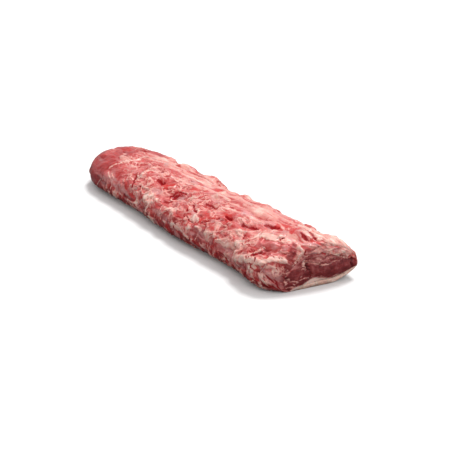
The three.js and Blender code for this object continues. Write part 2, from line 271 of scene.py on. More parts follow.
@dataclass(frozen=True)
class Loft:
    """The smooth body of the joint, with the driving dimensions of its solids, in millimetres."""

    length: float = 560.0
    reach_near: Sequence[float] = (56, 66, 65, 63, 66, 67, 61, 60, 70)
    reach_far: Sequence[float] = (64, 70, 68, 67, 70, 70, 69, 72, 75)
    height: Sequence[float] = (55, 56, 56, 59, 53, 56, 57, 57, 64)
    body_form: Form = Form(0, 0.37, 2.3, 2.0, 2.8, 2.6)
    cut_form: Form = Form(15, 0.33, 1.3, 2.0, 3.5, 1.4)
    cut_near: float = 52.0
    cut_far: float = 54.5
    cut_height: float = 51.5
    tip_length: float = 86.0
    tip_plan_roundness: float = 2.3
    tip_side_roundness: float = 2.9
    tip_height: float = 12.0
    cut_round: float = 44.0
    cut_slant: float = 0.09
    cut_slant_start: float = 200.0
    rest_press: float = 3.0
    cap_near_angle: float = math.radians(243)
    cap_far_angle: float = math.radians(354)
    cap_thickness: float = 7.0
    cap_peak_shift: float = 0.8
    cap_edge_fullness: float = 0.7
    gap: float = 0.3
    box_middle: Tuple[float, float] = (3.5, 2.7)

    @staticmethod
    def along_list(values: Sequence[float], t: Array) -> Array:
        """Reads an evenly spaced list by a Catmull-Rom curve.

        Args:
            values: the list.
            t: places from 0 at its start to 1 at its end.

        Returns:
            The values there.
        """
        knots = np.array([2 * values[0] - values[1], *values, 2 * values[-1] - values[-2]], float)
        last = len(values) - 1
        place = np.clip(t, 0, 1) * last
        i = np.minimum(np.floor(place).astype(int), last - 1)
        f = place - i
        a, b, c, d = (knots[i + k] for k in range(4))
        bend = 2 * a - 5 * b + 4 * c - d
        twist = 3 * b - a - 3 * c + d
        return 0.5 * (2 * b + (c - a) * f + bend * f ** 2 + twist * f ** 3)

    @staticmethod
    def end_fullness(share: Array, roundness: float) -> Array:
        """How full a rounded end is, from 0 at the very end to 1 where the rounding ends."""
        rest = 1 - np.clip(share, 0, 1)
        return np.maximum(1 - rest ** roundness, 0) ** (1 / roundness)

    def side_fullness(self, x: Array) -> Array:
        """How full the height is in the rounded tip."""
        return self.end_fullness((x + self.length / 2) / self.tip_length, self.tip_side_roundness)

    def points(self, x: Array, angles: Array) -> Array:
        """Skin points of the sections at x.

        Args:
            x: places of the sections, one for each row.
            angles: angles of the points, in one row or a row for each section.

        Returns:
            Rows by angles by three coordinates, in millimetres.
        """
        t = x / self.length + 0.5
        in_rim = np.clip(1 - (self.length / 2 - x) / self.cut_round, 0, 1)
        cut = (1 - np.sqrt(1 - in_rim ** 2))[:, None]

        def mix(body: Union[Array, float], face: float) -> Array:
            """The value between the body's and the cut face's."""
            body = np.broadcast_to(body, x.shape)[:, None]
            return body + (face - body) * cut

        near = mix(self.along_list(self.reach_near, t), self.cut_near)
        far = mix(self.along_list(self.reach_far, t), self.cut_far)
        height = mix(self.along_list(self.height, t), self.cut_height)
        form = {key: mix(value, getattr(self.cut_form, key)) for key, value in vars(self.body_form).items()}
        from_tip = (x + self.length / 2) / self.tip_length
        plan = self.end_fullness(from_tip, self.tip_plan_roundness)[:, None]
        side = self.side_fullness(x)[:, None]
        across, up = np.cos(angles), np.sin(angles)
        top = np.where(across < 0, form["top_near"], form["top_far"])
        under = np.where(across < 0, form["under_near"], form["under_far"])
        power = 2 / np.where(up >= 0, top, under)
        waist = form["waist"] * height
        rise = np.where(up >= 0, height - waist, waist + self.rest_press)
        reach = np.where(across < 0, near, far)
        y = form["crown"] + (np.sign(across) * reach * np.abs(across) ** power)
        z = np.maximum(waist + np.sign(up) * rise * np.abs(up) ** power, 0)
        y = form["crown"] + (y - form["crown"]) * plan
        z = self.tip_height + (z - self.tip_height) * side
        slant = self.cut_slant * smoothstep(x, self.cut_slant_start, self.length / 2)[:, None]
        return np.stack([x[:, None] + slant * y, y, z], axis=-1)

    def ring_places(self, tip: int, body: int, rim: int) -> Array:
        """Places of the rings along X.

        Args:
            tip: rings in the rounded tip.
            body: rings in the body.
            rim: rings in the rounded rim of the cut.

        Returns:
            The places, from the tip to the cut.
        """
        first_angle = 0.06
        tip_end = -self.length / 2 + self.tip_length
        rim_start = self.length / 2 - self.cut_round
        tip_angles = np.linspace(first_angle, math.pi / 2, tip, endpoint=False)
        rim_angles = np.linspace(0, math.pi / 2, rim)
        return np.concatenate([
            tip_end - self.tip_length * np.cos(tip_angles),
            np.linspace(tip_end, rim_start, body, endpoint=False),
            rim_start + self.cut_round * np.sin(rim_angles),
        ])

    def skin_angles(self, x: Array, shares: Array) -> Tuple[Array, Array]:
        """Angles of the bare skin at even lengths over it, from the far edge of the fat cap.

        Args:
            x: places of the sections.
            shares: shares of the length over the skin, from 0 to 1.

        Returns:
            The angles, and their distances from the crown line, a row for each section.
        """
        start = self.cap_far_angle - 2 * math.pi
        fine = np.linspace(start, self.cap_near_angle, 1200)
        curve = self.points(x, fine[None, :])
        steps = np.linalg.norm(np.diff(curve, axis=1), axis=-1)
        travelled = np.concatenate([np.zeros((len(x), 1)), np.cumsum(steps, axis=1)], axis=1)
        crown = np.array([np.interp(math.pi / 2, fine, row) for row in travelled])
        angles = np.array([np.interp(shares * row[-1], row, fine) for row in travelled])
        rounds = crown[:, None] - shares[None, :] * travelled[:, -1:]
        return angles, rounds

    def cap_curves(self, x: Array, shares: Array) -> Tuple[Array, Array, Array]:
        """Outside and inside of the fat cap, and the underside of the lean above it.

        Args:
            x: places of the sections.
            shares: places across the cap, 0 at its near edge and 1 at its far edge.

        Returns:
            Three grids of points, in millimetres.
        """
        small = 0.01
        angles = (self.cap_near_angle + (self.cap_far_angle - self.cap_near_angle) * shares)[None, :]
        outside = self.points(x, angles)
        way = self.points(x, angles + small) - self.points(x, angles - small)
        inward = np.stack([np.zeros_like(way[..., 0]), -way[..., 2], way[..., 1]], axis=-1)
        inward /= np.linalg.norm(inward, axis=-1, keepdims=True)
        swell = np.maximum(np.sin(math.pi * shares ** self.cap_peak_shift), 0)
        swell[[0, -1]] = 0
        depth = self.cap_thickness * swell ** self.cap_edge_fullness
        thickness = (depth[None, :] * self.side_fullness(x)[:, None])[..., None]
        return outside, outside + inward * thickness, outside + inward * (thickness + self.gap)

    def to_frame(self, points: Array) -> Array:
        """Moves loft points in millimetres to the part's frame, in metres."""
        return (points - np.array([*self.box_middle, 0.0])) * MM


def outward(grid: Array) -> Array:
    """Unit normals of a grid of points whose rows run from the far side over the top.

    Args:
        grid: rows by columns by three coordinates.

    Returns:
        The normals, pointing away from the body.
    """
    lengthways = np.gradient(grid, axis=0)
    crossways = np.gradient(grid, axis=1)
    normals = np.cross(crossways, lengthways)
    return normals / np.maximum(np.linalg.norm(normals, axis=-1, keepdims=True), 1e-9)


@dataclass(frozen=True)
class Lumps:
    """Soft lumps and dents all over the skin, placed by the same seeded draw as in the solid."""

    seed: int = 71
    count: int = 230
    round: Tuple[float, float] = (-88, 96)
    length: Tuple[float, float] = (12, 20)
    width: Tuple[float, float] = (8, 13)
    depth: Tuple[float, float] = (-3, 3)
    turn: Tuple[float, float] = (-18, 34)

    def marks(self, half_length: float) -> List[Mark]:
        """Draws the lumps one after another."""
        state = self.seed
        marks = []
        for _ in range(self.count):
            values = []
            for low, high in ((-half_length, half_length), self.round, self.length,
                              self.width, self.depth, self.turn):
                state = (state * 1664525 + 1013904223) % 4294967296
                values.append(low + (high - low) * state / 4294967296)
            marks.append(Mark(*values))
        return marks


HOLLOWS = (
    Mark(18, -36, 36, 19, 7.5, 25),
    Mark(-39, -33, 16, 12, 4, 10),
    Mark(95, -27, 32, 10, 4.5, 6),
    Mark(145, -30, 14, 12, 5, 0),
    Mark(189, -25, 34, 11, 5.5, 20),
    Mark(208, -5, 20, 11, 4.5, 35),
    Mark(219, 8, 30, 16, 4, 25),
    Mark(253, -51, 28, 16, 6.5, 30),
    Mark(267, -6, 24, 14, 5.5, 15),
    Mark(262, 27, 26, 14, 4, 70),
    Mark(230, 54, 26, 24, 4.5, 60),
    Mark(276, 62, 26, 18, 3, 90),
    Mark(42, 56, 70, 26, 5.5, 0),
    Mark(-53, 57, 22, 24, 7, 0),
    Mark(-106, 53, 44, 24, 7, 0),
    Mark(150, 55, 20, 22, 2.5, 0),
    Mark(-90, -51, 22, 12, 3.5, -60),
    Mark(78, -44, 26, 14, 3.5, -25),
    Mark(20, -54, 28, 12, 3, 10),
    Mark(162, 3, 40, 12, 3, 14),
    Mark(39, 17, 20, 12, 2.5, 20),
    Mark(-127, -25, 14, 12, 2.5, 40),
    Mark(-174, -27, 26, 13, 2.5, 30),
)

LOBES = (
    Mark(-164, -30, 44, 14, 2.5, 56),
    Mark(-152, -44, 28, 16, 2, 10),
    Mark(-87, -37, 24, 14, 2, 20),
    Mark(-76, 46, 26, 24, 2.5, 8),
    Mark(-28, 52, 26, 26, 5, 8),
    Mark(68, -31, 26, 15, 2, 10),
    Mark(112, 12, 60, 20, 2.5, 13),
    Mark(121, 52, 26, 22, 3, 0),
    Mark(180, 50, 40, 22, 1.5, 0),
    Mark(232, -27, 34, 16, 2, 20),
    Mark(241, -63, 62, 17, 3.5, 13),
    Mark(256, 12, 34, 15, 3.5, 60),
    Mark(272, 42, 30, 18, 2, 60),
)

# What lies where on the skin; the depth of a mark here is how strongly the tissue shows
PATCHES: Dict[Tissue, Tuple[Mark, ...]] = {
    Tissue.FAT: (
        Mark(-190, -19, 20, 6, 0.6, -37),
        Mark(-160, -36, 24, 15, 0.3, -30),
        Mark(-164, -12, 24, 18, 0.4, 10),
        Mark(-152, -60, 30, 22, -0.5, 0),
        Mark(-140, -81, 26, 6, 0.3, -12),
        Mark(-87, -39, 18, 12, 0.7, 20),
        Mark(-34, -60, 28, 9, 0.7, -15),
        Mark(-17, -63, 16, 11, 0.6, 40),
        Mark(-22, -83, 16, 6, 0.7, 40),
        Mark(-28, 12, 24, 17, 0.4, 10),
        Mark(10, 0, 26, 6, 0.8, 14),
        Mark(50, 13, 12, 9, 0.6, 0),
        Mark(60, -26, 20, 13, 0.5, 0),
        Mark(85, -55, 26, 10, 0.6, 0),
        Mark(111, -9, 16, 15, 0.6, 0),
        Mark(42, -60, 22, 9, 0.8, 10),
        Mark(135, -66, 12, 11, 0.9, 45),
        Mark(167, -8, 14, 8, 0.8, 0),
        Mark(150, 10, 18, 11, 0.8, 10),
        Mark(230, -30, 30, 12, 0.5, 5),
        Mark(190, -41, 20, 13, 0.4, 0),
        Mark(172, -62, 46, 9, 0.6, 0),
        Mark(225, -77, 30, 6, 0.5, -10),
        Mark(255, 22, 42, 15, 0.5, 122),
        Mark(276, 34, 12, 26, 1.0, 20),
        Mark(252, -40, 50, 26, -0.5, 0),
        Mark(251, -76, 32, 14, 0.7, -8),
        Mark(214, -50, 26, 14, 0.4, 10),
        Mark(282, 22, 10, 22, 0.9, 15),
    ),
    # Dark red blood and painted shade, in spots, hollows and along the bottom edge
    Tissue.BLOOD_AND_SHADE: (
        Mark(-150, -37, 6, 5, 0.7, 0),
        Mark(-156, -46, 6, 5, 0.7, 0),
        Mark(-165, -50, 6, 5, 0.6, 0),
        Mark(12, -32, 18, 12, 0.35, 12),
        Mark(67, -40, 5, 6, 0.6, 0),
        Mark(67, -62, 14, 5, 0.5, 20),
        Mark(204, -8, 7, 5, 0.9, 0),
        Mark(257, -50, 17, 11, 0.5, 30),
        Mark(274, -30, 10, 9, 0.5, -40),
        Mark(290, -17, 7, 6, 0.8, 0),
        Mark(286, -75, 10, 9, 0.5, 0),
        Mark(-85, -80, 44, 10, 0.3, 0),
        Mark(176, -77, 48, 10, 0.4, 0),
        Mark(75, -68, 28, 9, 0.35, 0),
        Mark(-180, -78, 20, 10, 0.5, 0),
    ),
    Tissue.BRIGHT: (
        Mark(-33, -30, 36, 14, 0.8, 5),
        Mark(-80, -29, 16, 11, 0.6, 0),
        Mark(34, 20, 15, 9, 0.8, 15),
        Mark(112, -48, 16, 12, 0.7, 0),
        Mark(137, -30, 26, 13, 0.8, 0),
        Mark(205, 10, 22, 17, 0.7, 20),
        Mark(225, 12, 20, 13, 0.9, 25),
        Mark(243, 1, 16, 10, 1.0, 10),
        Mark(276, 3, 10, 7, 1.2, -30),
        Mark(277, 27, 12, 30, 0.4, 20),
        Mark(238, 26, 26, 18, 0.6, 60),
        Mark(-125, -20, 28, 16, 0.4, 0),
        Mark(108, -67, 16, 10, 0.5, 0),
    ),
    Tissue.SILVERSKIN: (
        Mark(-25, -48, 22, 13, 0.8, 10),
        Mark(-80, -15, 52, 17, 0.6, 0),
        Mark(75, -6, 42, 22, 0.6, 8),
        Mark(26, -38, 11, 8, 0.6, 0),
        Mark(69, -42, 18, 12, 0.6, 0),
        Mark(178, -65, 13, 7, 0.6, 0),
        Mark(-140, -73, 74, 11, 0.3, 0),
        Mark(-104, -66, 60, 20, 0.6, 8),
        Mark(245, -36, 26, 10, 0.5, 20),
    ),
}


# Lines of tissue that are narrower and crisper than the patches; those of blood and shade are slits, painted dark red
# as shade in the crevices
STROKES: Dict[Tissue, Tuple[Stroke, ...]] = {
    Tissue.FAT: (
        Stroke(((214, -71), (232, -70), (247, -68), (256, -67)), 4.8),
        Stroke(((244, -66), (242, -56), (245, -46)), 2.6),
        Stroke(((254, -68), (262, -65), (267, -59), (272, -50)), 3.6),
        Stroke(((246, -78), (256, -74)), 2.4),
        Stroke(((274, -51), (285, -46)), 4.0),
        Stroke(((215, -76), (221, -82)), 1.3),
        Stroke(((248, -78), (240, -88)), 1.6),
        Stroke(((270, -65), (276, -60), (284, -62)), 2.4),
        Stroke(((276, -60), (281, -68)), 1.6),
        Stroke(((262, -80), (269, -85), (277, -83)), 1.8),
        Stroke(((258, -9), (267, -15), (279, -21), (287, -22)), 2.2),
        Stroke(((287, -22), (291, -29), (297, -42)), 1.5),
        Stroke(((213, -32), (226, -31), (236, -30), (247, -28)), 4.6),
        Stroke(((214, 32), (228, 34), (247, 26), (263, 15), (272, 12)), 3.6),
        Stroke(((250, 11), (260, 9), (267, 8)), 1.5),
        Stroke(((161, -65), (176, -64), (189, -60), (195, -55)), 3.0),
        Stroke(((-170, -55), (-164, -44), (-159, -38)), 2.0),
        Stroke(((-159, -38), (-154, -25), (-149, -10)), 2.8),
        Stroke(((-163, -61), (-146, -69)), 1.2),
        Stroke(((-153, -60), (-138, -66)), 1.1),
        Stroke(((-86, -47), (-84, -40), (-88, -34)), 3.4),
        Stroke(((-34, -60), (-21, -60), (-7, -59)), 2.0),
        Stroke(((-27, -54), (-14, -65)), 1.6),
        Stroke(((-92, -27), (-91, -20), (-74, -20)), 3.0),
        Stroke(((-130, 15), (-106, 19), (-76, 20)), 2.6),
        Stroke(((-21, -11), (-10, -2), (10, 4), (26, 8)), 2.8),
        Stroke(((63, -7), (75, 2), (91, 4)), 2.4),
        Stroke(((109, -19), (121, -11), (137, -9)), 2.0),
        Stroke(((84, 20), (110, 24), (137, 27)), 3.0),
        Stroke(((157, -11), (175, -8)), 2.0),
        Stroke(((130, -64), (136, -70), (143, -72)), 1.2),
        Stroke(((137, -63), (144, -59)), 1.2),
        Stroke(((108, -64), (121, -66)), 2.0),
        Stroke(((24, -57), (35, -57), (52, -58)), 2.4),
        Stroke(((-21, -65), (-10, -73)), 1.1),
        Stroke(((17, -71), (24, -78)), 1.4),
        Stroke(((55, -76), (68, -81)), 2.0),
        Stroke(((80, -78), (88, -83), (97, -85)), 2.6),
        Stroke(((122, -82), (132, -86)), 1.6),
        Stroke(((-26, -85), (-16, -79)), 1.8),
        Stroke(((-123, -82), (-104, -83)), 1.5),
        Stroke(((-88, -85), (-70, -84)), 1.3),
    ),
    Tissue.BLOOD_AND_SHADE: (
        Stroke(((172, -27), (178, -25), (185, -21), (192, -17)), 2.0),
        Stroke(((193, -5), (201, -1)), 2.2),
        Stroke(((211, -13), (217, -12)), 1.5),
        Stroke(((203, 1), (207, 5)), 1.8),
        Stroke(((256, 2), (264, 3)), 2.2),
        Stroke(((263, 3), (273, 5)), 1.4),
        Stroke(((245, 19), (256, 15), (267, 11), (277, 6)), 1.2),
        Stroke(((245, -61), (248, -54)), 1.7),
        Stroke(((254, -56), (252, -50)), 1.0),
        Stroke(((1, -41), (4, -32), (6, -26), (18, -22)), 1.7),
        Stroke(((9, -41), (11, -30)), 1.6),
        Stroke(((4, -54), (9, -52), (14, -47)), 1.8),
        Stroke(((79, -26), (88, -23), (104, -25)), 1.5),
        Stroke(((134, -29), (142, -27)), 1.7),
        Stroke(((68, -40), (78, -45), (85, -47)), 1.3),
        Stroke(((-98, -44), (-93, -53), (-80, -58), (-76, -63)), 2.1),
        Stroke(((-49, -31), (-41, -31), (-36, -27)), 1.9),
        Stroke(((-125, -24), (-114, -31)), 1.2),
        Stroke(((-207, -10), (-202, -10)), 1.9),
        Stroke(((-48, -14), (-41, -8), (-38, 2)), 0.9),
        Stroke(((-20, 7), (-14, 9)), 1.2),
        Stroke(((111, -58), (120, -52), (127, -43), (133, -38)), 1.1),
        Stroke(((148, -10), (165, -4), (176, 0)), 1.0),
        Stroke(((-84, -82), (-68, -82)), 0.9),
    ),
    Tissue.BRIGHT: (
        Stroke(((24, 22), (36, 22)), 3.0),
        Stroke(((-33, -33), (-20, -32)), 4.0),
        Stroke(((102, -42), (123, -42)), 5.0),
        Stroke(((82, -68), (100, -66), (108, -56)), 4.0),
        Stroke(((12, -13), (30, 1)), 5.0),
        Stroke(((-112, -56), (-92, -71), (-68, -74)), 2.4),
        Stroke(((203, 6), (207, 19), (219, 19)), 4.0),
        Stroke(((240, -2), (251, -6)), 3.0),
        Stroke(((270, 5), (281, 3)), 2.8),
    ),
    Tissue.SILVERSKIN: (
        Stroke(((49, -29), (64, -27)), 4.0),
        Stroke(((78, -50), (96, -54)), 4.0),
        Stroke(((-30, -50), (-18, -45)), 5.0),
        Stroke(((130, -47), (137, -37)), 3.0),
        Stroke(((17, -33), (20, -30)), 4.0),
        Stroke(((272, -8), (281, -2)), 5.0),
    ),
    Tissue.BARE: (
        Stroke(((285, -39), (278, -28), (272, -19)), 4.0),
        Stroke(((244, -50), (254, -50)), 6.0),
        Stroke(((216, -80), (236, -78)), 3.5),
        Stroke(((262, -78), (270, -73)), 3.0),
        Stroke(((286, -66), (292, -60)), 5.0),
        Stroke(((172, -78), (196, -79)), 3.0),
        Stroke(((108, -79), (126, -80)), 3.0),
        Stroke(((22, -75), (46, -78)), 3.0),
        Stroke(((-33, -80), (-12, -80)), 3.0),
        Stroke(((-110, -78), (-70, -79)), 2.5),
        Stroke(((-186, -76), (-160, -79)), 3.5),
        Stroke(((7, -35), (15, -32), (23, -27)), 4.5),
        Stroke(((272, -77), (286, -73)), 4.5),
    ),
}


@dataclass(frozen=True)
class Place:
    """Where skin points lie.

    Along and round are as in the solid; run is along measured over the skin, which is longer than
    along in the rounded ends. The rest is how far a point is from the tip and the cut in X, from the
    rim of the cut over the skin, and from the fat cap as an angle.
    """

    along: Array
    round: Array
    run: Array
    from_tip: Array
    from_cut: Array
    from_rim: Array
    from_cap: Array


def wobble_of(at: Place, noise: Noise) -> Array:
    """Millimetres by which the edges of the regions wander."""
    return 7 * noise.layered(at.along / 40, at.round / 40, 2)


@dataclass
class Carving:
    """The relief of the lean and the tissues that show on it."""

    strip_pitch: float = 21.0
    strip_height: float = 1.4
    strip_turn: float = 11.0
    strip_wander: float = 5.0
    strip_wander_pitch: float = 130.0
    strips_from: float = -14.0
    strips_to: float = 66.0
    strip_edge: float = 14.0
    cap_edge_fade: float = 0.35
    tip_fade: float = 30.0
    cut_fade: float = 12.0
    fold_run: float = 32.0
    fold_pitch: float = 18.0
    fold_height: float = 2.1
    sheet_count: float = 1.5
    sheet_run: float = 36.0
    sheet_pitch: float = 19.0
    sheet_height: float = 1.3
    cord_pitch: float = 7.5
    cord_height: float = 0.6
    fat_height: float = 0.8
    seed: int = 20

    def __post_init__(self) -> None:
        """Draws the noises, one for each use."""
        self.noise = [Noise(self.seed + k) for k in range(12)]
        self.lumps = Lumps().marks(280.0)

    def zones(self, at: Place) -> Dict[str, Array]:
        """Shares of the joint's regions at each place.

        Args:
            at: the places.

        Returns:
            The share of each region, from 0 to 1.
        """
        wobble = wobble_of(at, self.noise[0])
        tip = 1 - smoothstep(at.along + 1.5 * wobble, -200, -150)
        back = smoothstep(at.round + wobble + 0.06 * (at.along + 40), -14, 8) * (1 - tip)
        back = back * (1 - smoothstep(at.round + 1.2 * wobble, 38, 56))
        low = 1 - smoothstep(at.round + wobble, -76, -60) + smoothstep(at.round + wobble, 66, 80)
        low = low * (1 - tip)
        shoulder = smoothstep(at.along + wobble, 196, 226) * (1 - smoothstep(at.round, 40, 60))
        front = np.clip(1 - tip - back - low, 0, 1)
        return {"tip": tip, "back": back, "low": low, "shoulder": shoulder, "front": front}

    def strips(self, along: Array, round_: Array) -> Array:
        """Rise of the muscle strips along the back: rounded backs with narrow furrows between."""
        wander = self.strip_wander * np.sin(2 * math.pi * along / self.strip_wander_pitch)
        across = turned(along, round_, self.strip_turn, 1, 1)[1] + wander
        back = np.abs(np.sin(math.pi * across / self.strip_pitch)) - 2 / math.pi
        start, end = self.strips_from, self.strips_to
        in_band = smoothstep(round_, start, start + self.strip_edge)
        in_band = in_band * (1 - smoothstep(round_, end - self.strip_edge, end))
        return self.strip_height * 2 * back * in_band

    def main_rise(self, at: Place) -> Array:
        """The relief that the solid has too.

        Args:
            at: the places.

        Returns:
            Millimetres over the smooth loft.
        """
        rise = self.strips(at.along, at.round)
        for mark in (*self.lumps, *LOBES):
            rise += mark.depth * mark.share(at.along, at.round)
        for mark in HOLLOWS:
            rise -= mark.depth * mark.share(at.along, at.round)
        fade = smoothstep(at.from_tip, 0, self.tip_fade) * smoothstep(at.from_cut, 0, self.cut_fade)
        return rise * fade * smoothstep(at.from_cap, 0, self.cap_edge_fade)

    def sample(self, at: Place) -> Dict[str, Array]:
        """The whole carving at some places.

        Args:
            at: the places.

        Returns:
            The rise in millimetres under "rise", and the strength of each tissue and tone.
        """
        zone = self.zones(at)
        n = self.noise
        warp_a = 6 * n[1].layered(at.run / 30, at.round / 22, 2)
        warp_r = 4.5 * n[2].layered(at.run / 26, at.round / 20, 2)
        torn = n[5].layered(at.run / 11, at.round / 8, 3, 0.6)
        a = at.run + warp_a + 2.2 * torn
        r = at.round + warp_r + 1.8 * n[6].layered(at.run / 12, at.round / 9, 3, 0.6)

        # Folds of the boned side: crests of connective tissue round pulled lean
        folded = np.clip(zone["front"] + 0.6 * zone["low"] + 0.5 * zone["shoulder"], 0, 1)
        folded = np.clip(folded + 0.2 * zone["back"] + 0.22 * zone["tip"], 0, 1)
        calm = (1 - smoothstep(at.run + wobble_of(at, n[0]), -140, -84)) * smoothstep(-at.round, 30, 48)
        folded = folded * (1 - 0.6 * calm)
        crests = [
            n[9].crests(*turned(a, r, 24, self.fold_run, self.fold_pitch)),
            n[10].crests(*turned(a + 60, r, -6, self.fold_run * 0.5, self.fold_pitch * 0.5)),
            n[11].crests(*turned(a, r + 40, 40, self.fold_run * 0.26, self.fold_pitch * 0.26)),
        ]
        heights = (1.0, 0.5, 0.2)
        rise = folded * self.fold_height * sum(h * (c - 0.62) for h, c in zip(heights, crests))
        lines = [smoothstep(c, low, 1.0) for c, low in zip(crests, (0.76, 0.74, 0.72))]
        valleys = smoothstep(crests[0], 0.45, 0.1) + 0.7 * smoothstep(crests[1], 0.4, 0.05)
        gash = n[3].ridges(*turned(a, r + 15, 14, 24, 11), 2, 0.13)
        gash = gash * smoothstep(n[4].layered(at.run / 26, at.round / 17, 2), 0.12, 0.5) * folded
        gash += 0.8 * zone["back"] * smoothstep(-n[7].layered(*turned(a, r, self.strip_turn, 46, 7.0), 2), 0.75, 1.0)

        # Torn sheets: each rises gently to a lip and drops to the foot of the next
        sheet = self.sheet_count * n[4].layered(*turned(a + 20, r, 26, self.sheet_run, self.sheet_pitch), 2, 0.6)
        part = sheet - np.floor(sheet)
        sheeted = np.clip(folded + 0.1 * zone["back"], 0, 1)
        rise += sheeted * self.sheet_height * (part - smoothstep(part, 0.90, 1.0) - 0.45)

        # Cords of muscle along the back, and fibres that hang down the near side
        cord = n[7].layered(*turned(a, r, self.strip_turn, 80, self.cord_pitch), 3, 0.6)
        hanging = n[8].layered(*turned(a, r, 78, 26, 7.0), 3, 0.65)
        rise += self.cord_height * (1.4 * zone["back"] + 0.4 * zone["tip"] + 0.15 * folded) * cord
        rise += 0.5 * self.cord_height * zone["low"] * hanging
        grain = n[8].layered(*turned(a, r, 16, 9, 5.5), 3, 0.6)
        rise += 0.35 * (0.3 + folded) * grain

        # Fat: crests and blotches in front, streaks along the back, hanging wisps low down
        blotch = n[9].layered(*turned(a, r, 24, 34, 20), 4, 0.6)
        streak = n[10].layered(*turned(a, r, self.strip_turn, 95, 8.5), 3, 0.6)
        front = 0.2 * lines[0] + 0.16 * lines[1] + 0.06 * lines[2] + 0.28 * blotch - 0.1 * valleys
        fat = 0.21 + zone["front"] * front * (1 - 0.6 * calm) - 0.06 * calm
        fat += zone["back"] * (0.12 + 0.4 * streak + 0.08 * blotch + 0.05 * lines[1])
        fat += 0.16 * zone["back"] * smoothstep(at.round, 2, 34) * (1 + 0.8 * streak)
        fat += zone["low"] * (-0.09 + 0.85 * hanging + 0.2 * lines[1] + 0.55 * blotch)
        tip_side = zone["tip"] * smoothstep(-at.round, 12, 46)
        fat += zone["tip"] * (0.02 + 0.14 * streak + 0.12 * hanging + 0.16 * blotch) - 0.1 * tip_side
        fat += zone["shoulder"] * (0.04 + 0.12 * blotch)
        # Blood and painted shade: dark red in the valleys between folds and along the gashes
        blood_and_shade = folded * 0.16 * valleys * (0.6 + 0.8 * torn) + 1.1 * gash
        silver = (0.55 + 0.45 * zone["back"]) * smoothstep(n[4].layered(a / 44, r / 20, 3), 0.0, 0.7)
        silver += 0.7 * zone["low"] * smoothstep(n[7].layered(a / 26, r / 12, 3), -0.2, 0.5)
        bright = (0.5 - 0.35 * zone["back"]) * smoothstep(n[6].layered(a / 36, r / 20, 3), 0.0, 0.9)
        fields = {Tissue.FAT: fat, Tissue.BLOOD_AND_SHADE: blood_and_shade, Tissue.SILVERSKIN: silver, Tissue.BRIGHT: bright}
        fields[Tissue.BARE] = np.zeros_like(a)
        ragged_edge = np.maximum(1 + 0.45 * blotch + 0.6 * torn + 0.5 * grain, 0)
        for tissue, marks in PATCHES.items():
            pull = 0.42 - 0.12 * zone["tip"] if tissue is Tissue.FAT else 0.8
            for mark in marks:
                share = mark.share(at.run + 0.6 * warp_a + torn, at.round + 0.6 * warp_r)
                fields[tissue] = fields[tissue] + pull * mark.depth * share * ragged_edge
        for tissue in (Tissue.BLOOD_AND_SHADE, Tissue.BRIGHT):
            fields[Tissue.FAT] = fields[Tissue.FAT] - 0.35 * np.clip(fields[tissue], 0, 1)
        near_a = at.run + 0.25 * warp_a + 1.2 * torn
        near_r = at.round + 0.25 * warp_r + 1.0 * n[6].layered(at.run / 12, at.round / 9, 3, 0.6)
        near = smoothstep(at.run, 190, 230)
        slit = np.zeros_like(a)
        for tissue, strokes in STROKES.items():
            line = np.zeros_like(a)
            for stroke in strokes:
                half = stroke.width * (1 + 0.4 * torn) + 0.9 * grain
                line = np.maximum(line, smoothstep(half - stroke.distance(near_a, near_r), -1.0, 1.0))
            if tissue is Tissue.FAT:
                fields[tissue] = np.maximum(fields[tissue], line * (0.66 - 0.14 * zone["tip"] + 0.08 * near + 0.12 * grain))
                continue
            fields[tissue] = fields[tissue] + line * ((0.55 if tissue is Tissue.BRIGHT else 0.85) + 0.3 * grain)
            dark = tissue in (Tissue.BLOOD_AND_SHADE, Tissue.BARE)
            fields[Tissue.FAT] = fields[Tissue.FAT] - line * (0.5 if tissue is Tissue.BLOOD_AND_SHADE else 0.22 if dark else 0.1)
            if tissue is Tissue.BLOOD_AND_SHADE:
                slit = line
        rise -= 1.2 * slit + 1.2 * gash
        rise += self.fat_height * smoothstep(fields[Tissue.FAT], 0.3, 0.7)

        tone = 0.48 + 0.26 * n[2].layered(a / 40, r / 24, 4, 0.6) + 0.22 * zone["back"] * (1 + 1.8 * streak)
        tone = tone - 0.22 * zone["tip"] - 0.04 * tip_side - 0.02 * zone["low"] + 0.42 * hanging * zone["low"]
        # Painted shade: darker towards the bottom edge by the floor; painted light: the low side is lighter at the near
        # corner
        under = smoothstep(at.round + 0.7 * wobble_of(at, n[0]), -76, -94) * (1 + 0.6 * torn)
        tone = tone - 0.4 * under + 0.35 * near * zone["low"] * (1 - under)
        tone = tone - 0.1 * fields[Tissue.BARE] * (1 + torn)
        # Painted shade darkens the valleys; the crests are lighter, partly pale connective tissue and partly a painted
        # highlight
        tone = tone - 0.2 * valleys * folded + 0.16 * (lines[0] + lines[1]) * folded
        edge = at.from_rim + 6 * torn + 5 * blotch
        low_side = 1 - smoothstep(at.round + wobble_of(at, n[0]), -50, -30)
        cut = np.maximum(smoothstep(edge, 4, 1), 0.8 * low_side * smoothstep(edge, 12, 6))
        fields[Tissue.FAT] = fields[Tissue.FAT] - 0.1 * cut
        fade = smoothstep(at.from_tip, 0, 14) * (0.3 + 0.7 * smoothstep(at.from_rim, 0, 6))
        fade = fade * smoothstep(at.from_cap, 0, 0.16)
        sampled = {tissue.value: values for tissue, values in fields.items()}
        sampled["tone"] = tone
        sampled["cut"] = np.maximum(cut, 0.8 * sampled.pop(Tissue.BARE.value))
        sampled["sheet"] = sheet
        sampled["torn"] = sheeted * (1 - cut) * smoothstep(at.from_tip, 0, 14)
        sampled["rise"] = self.main_rise(at) + rise * fade
        return sampled


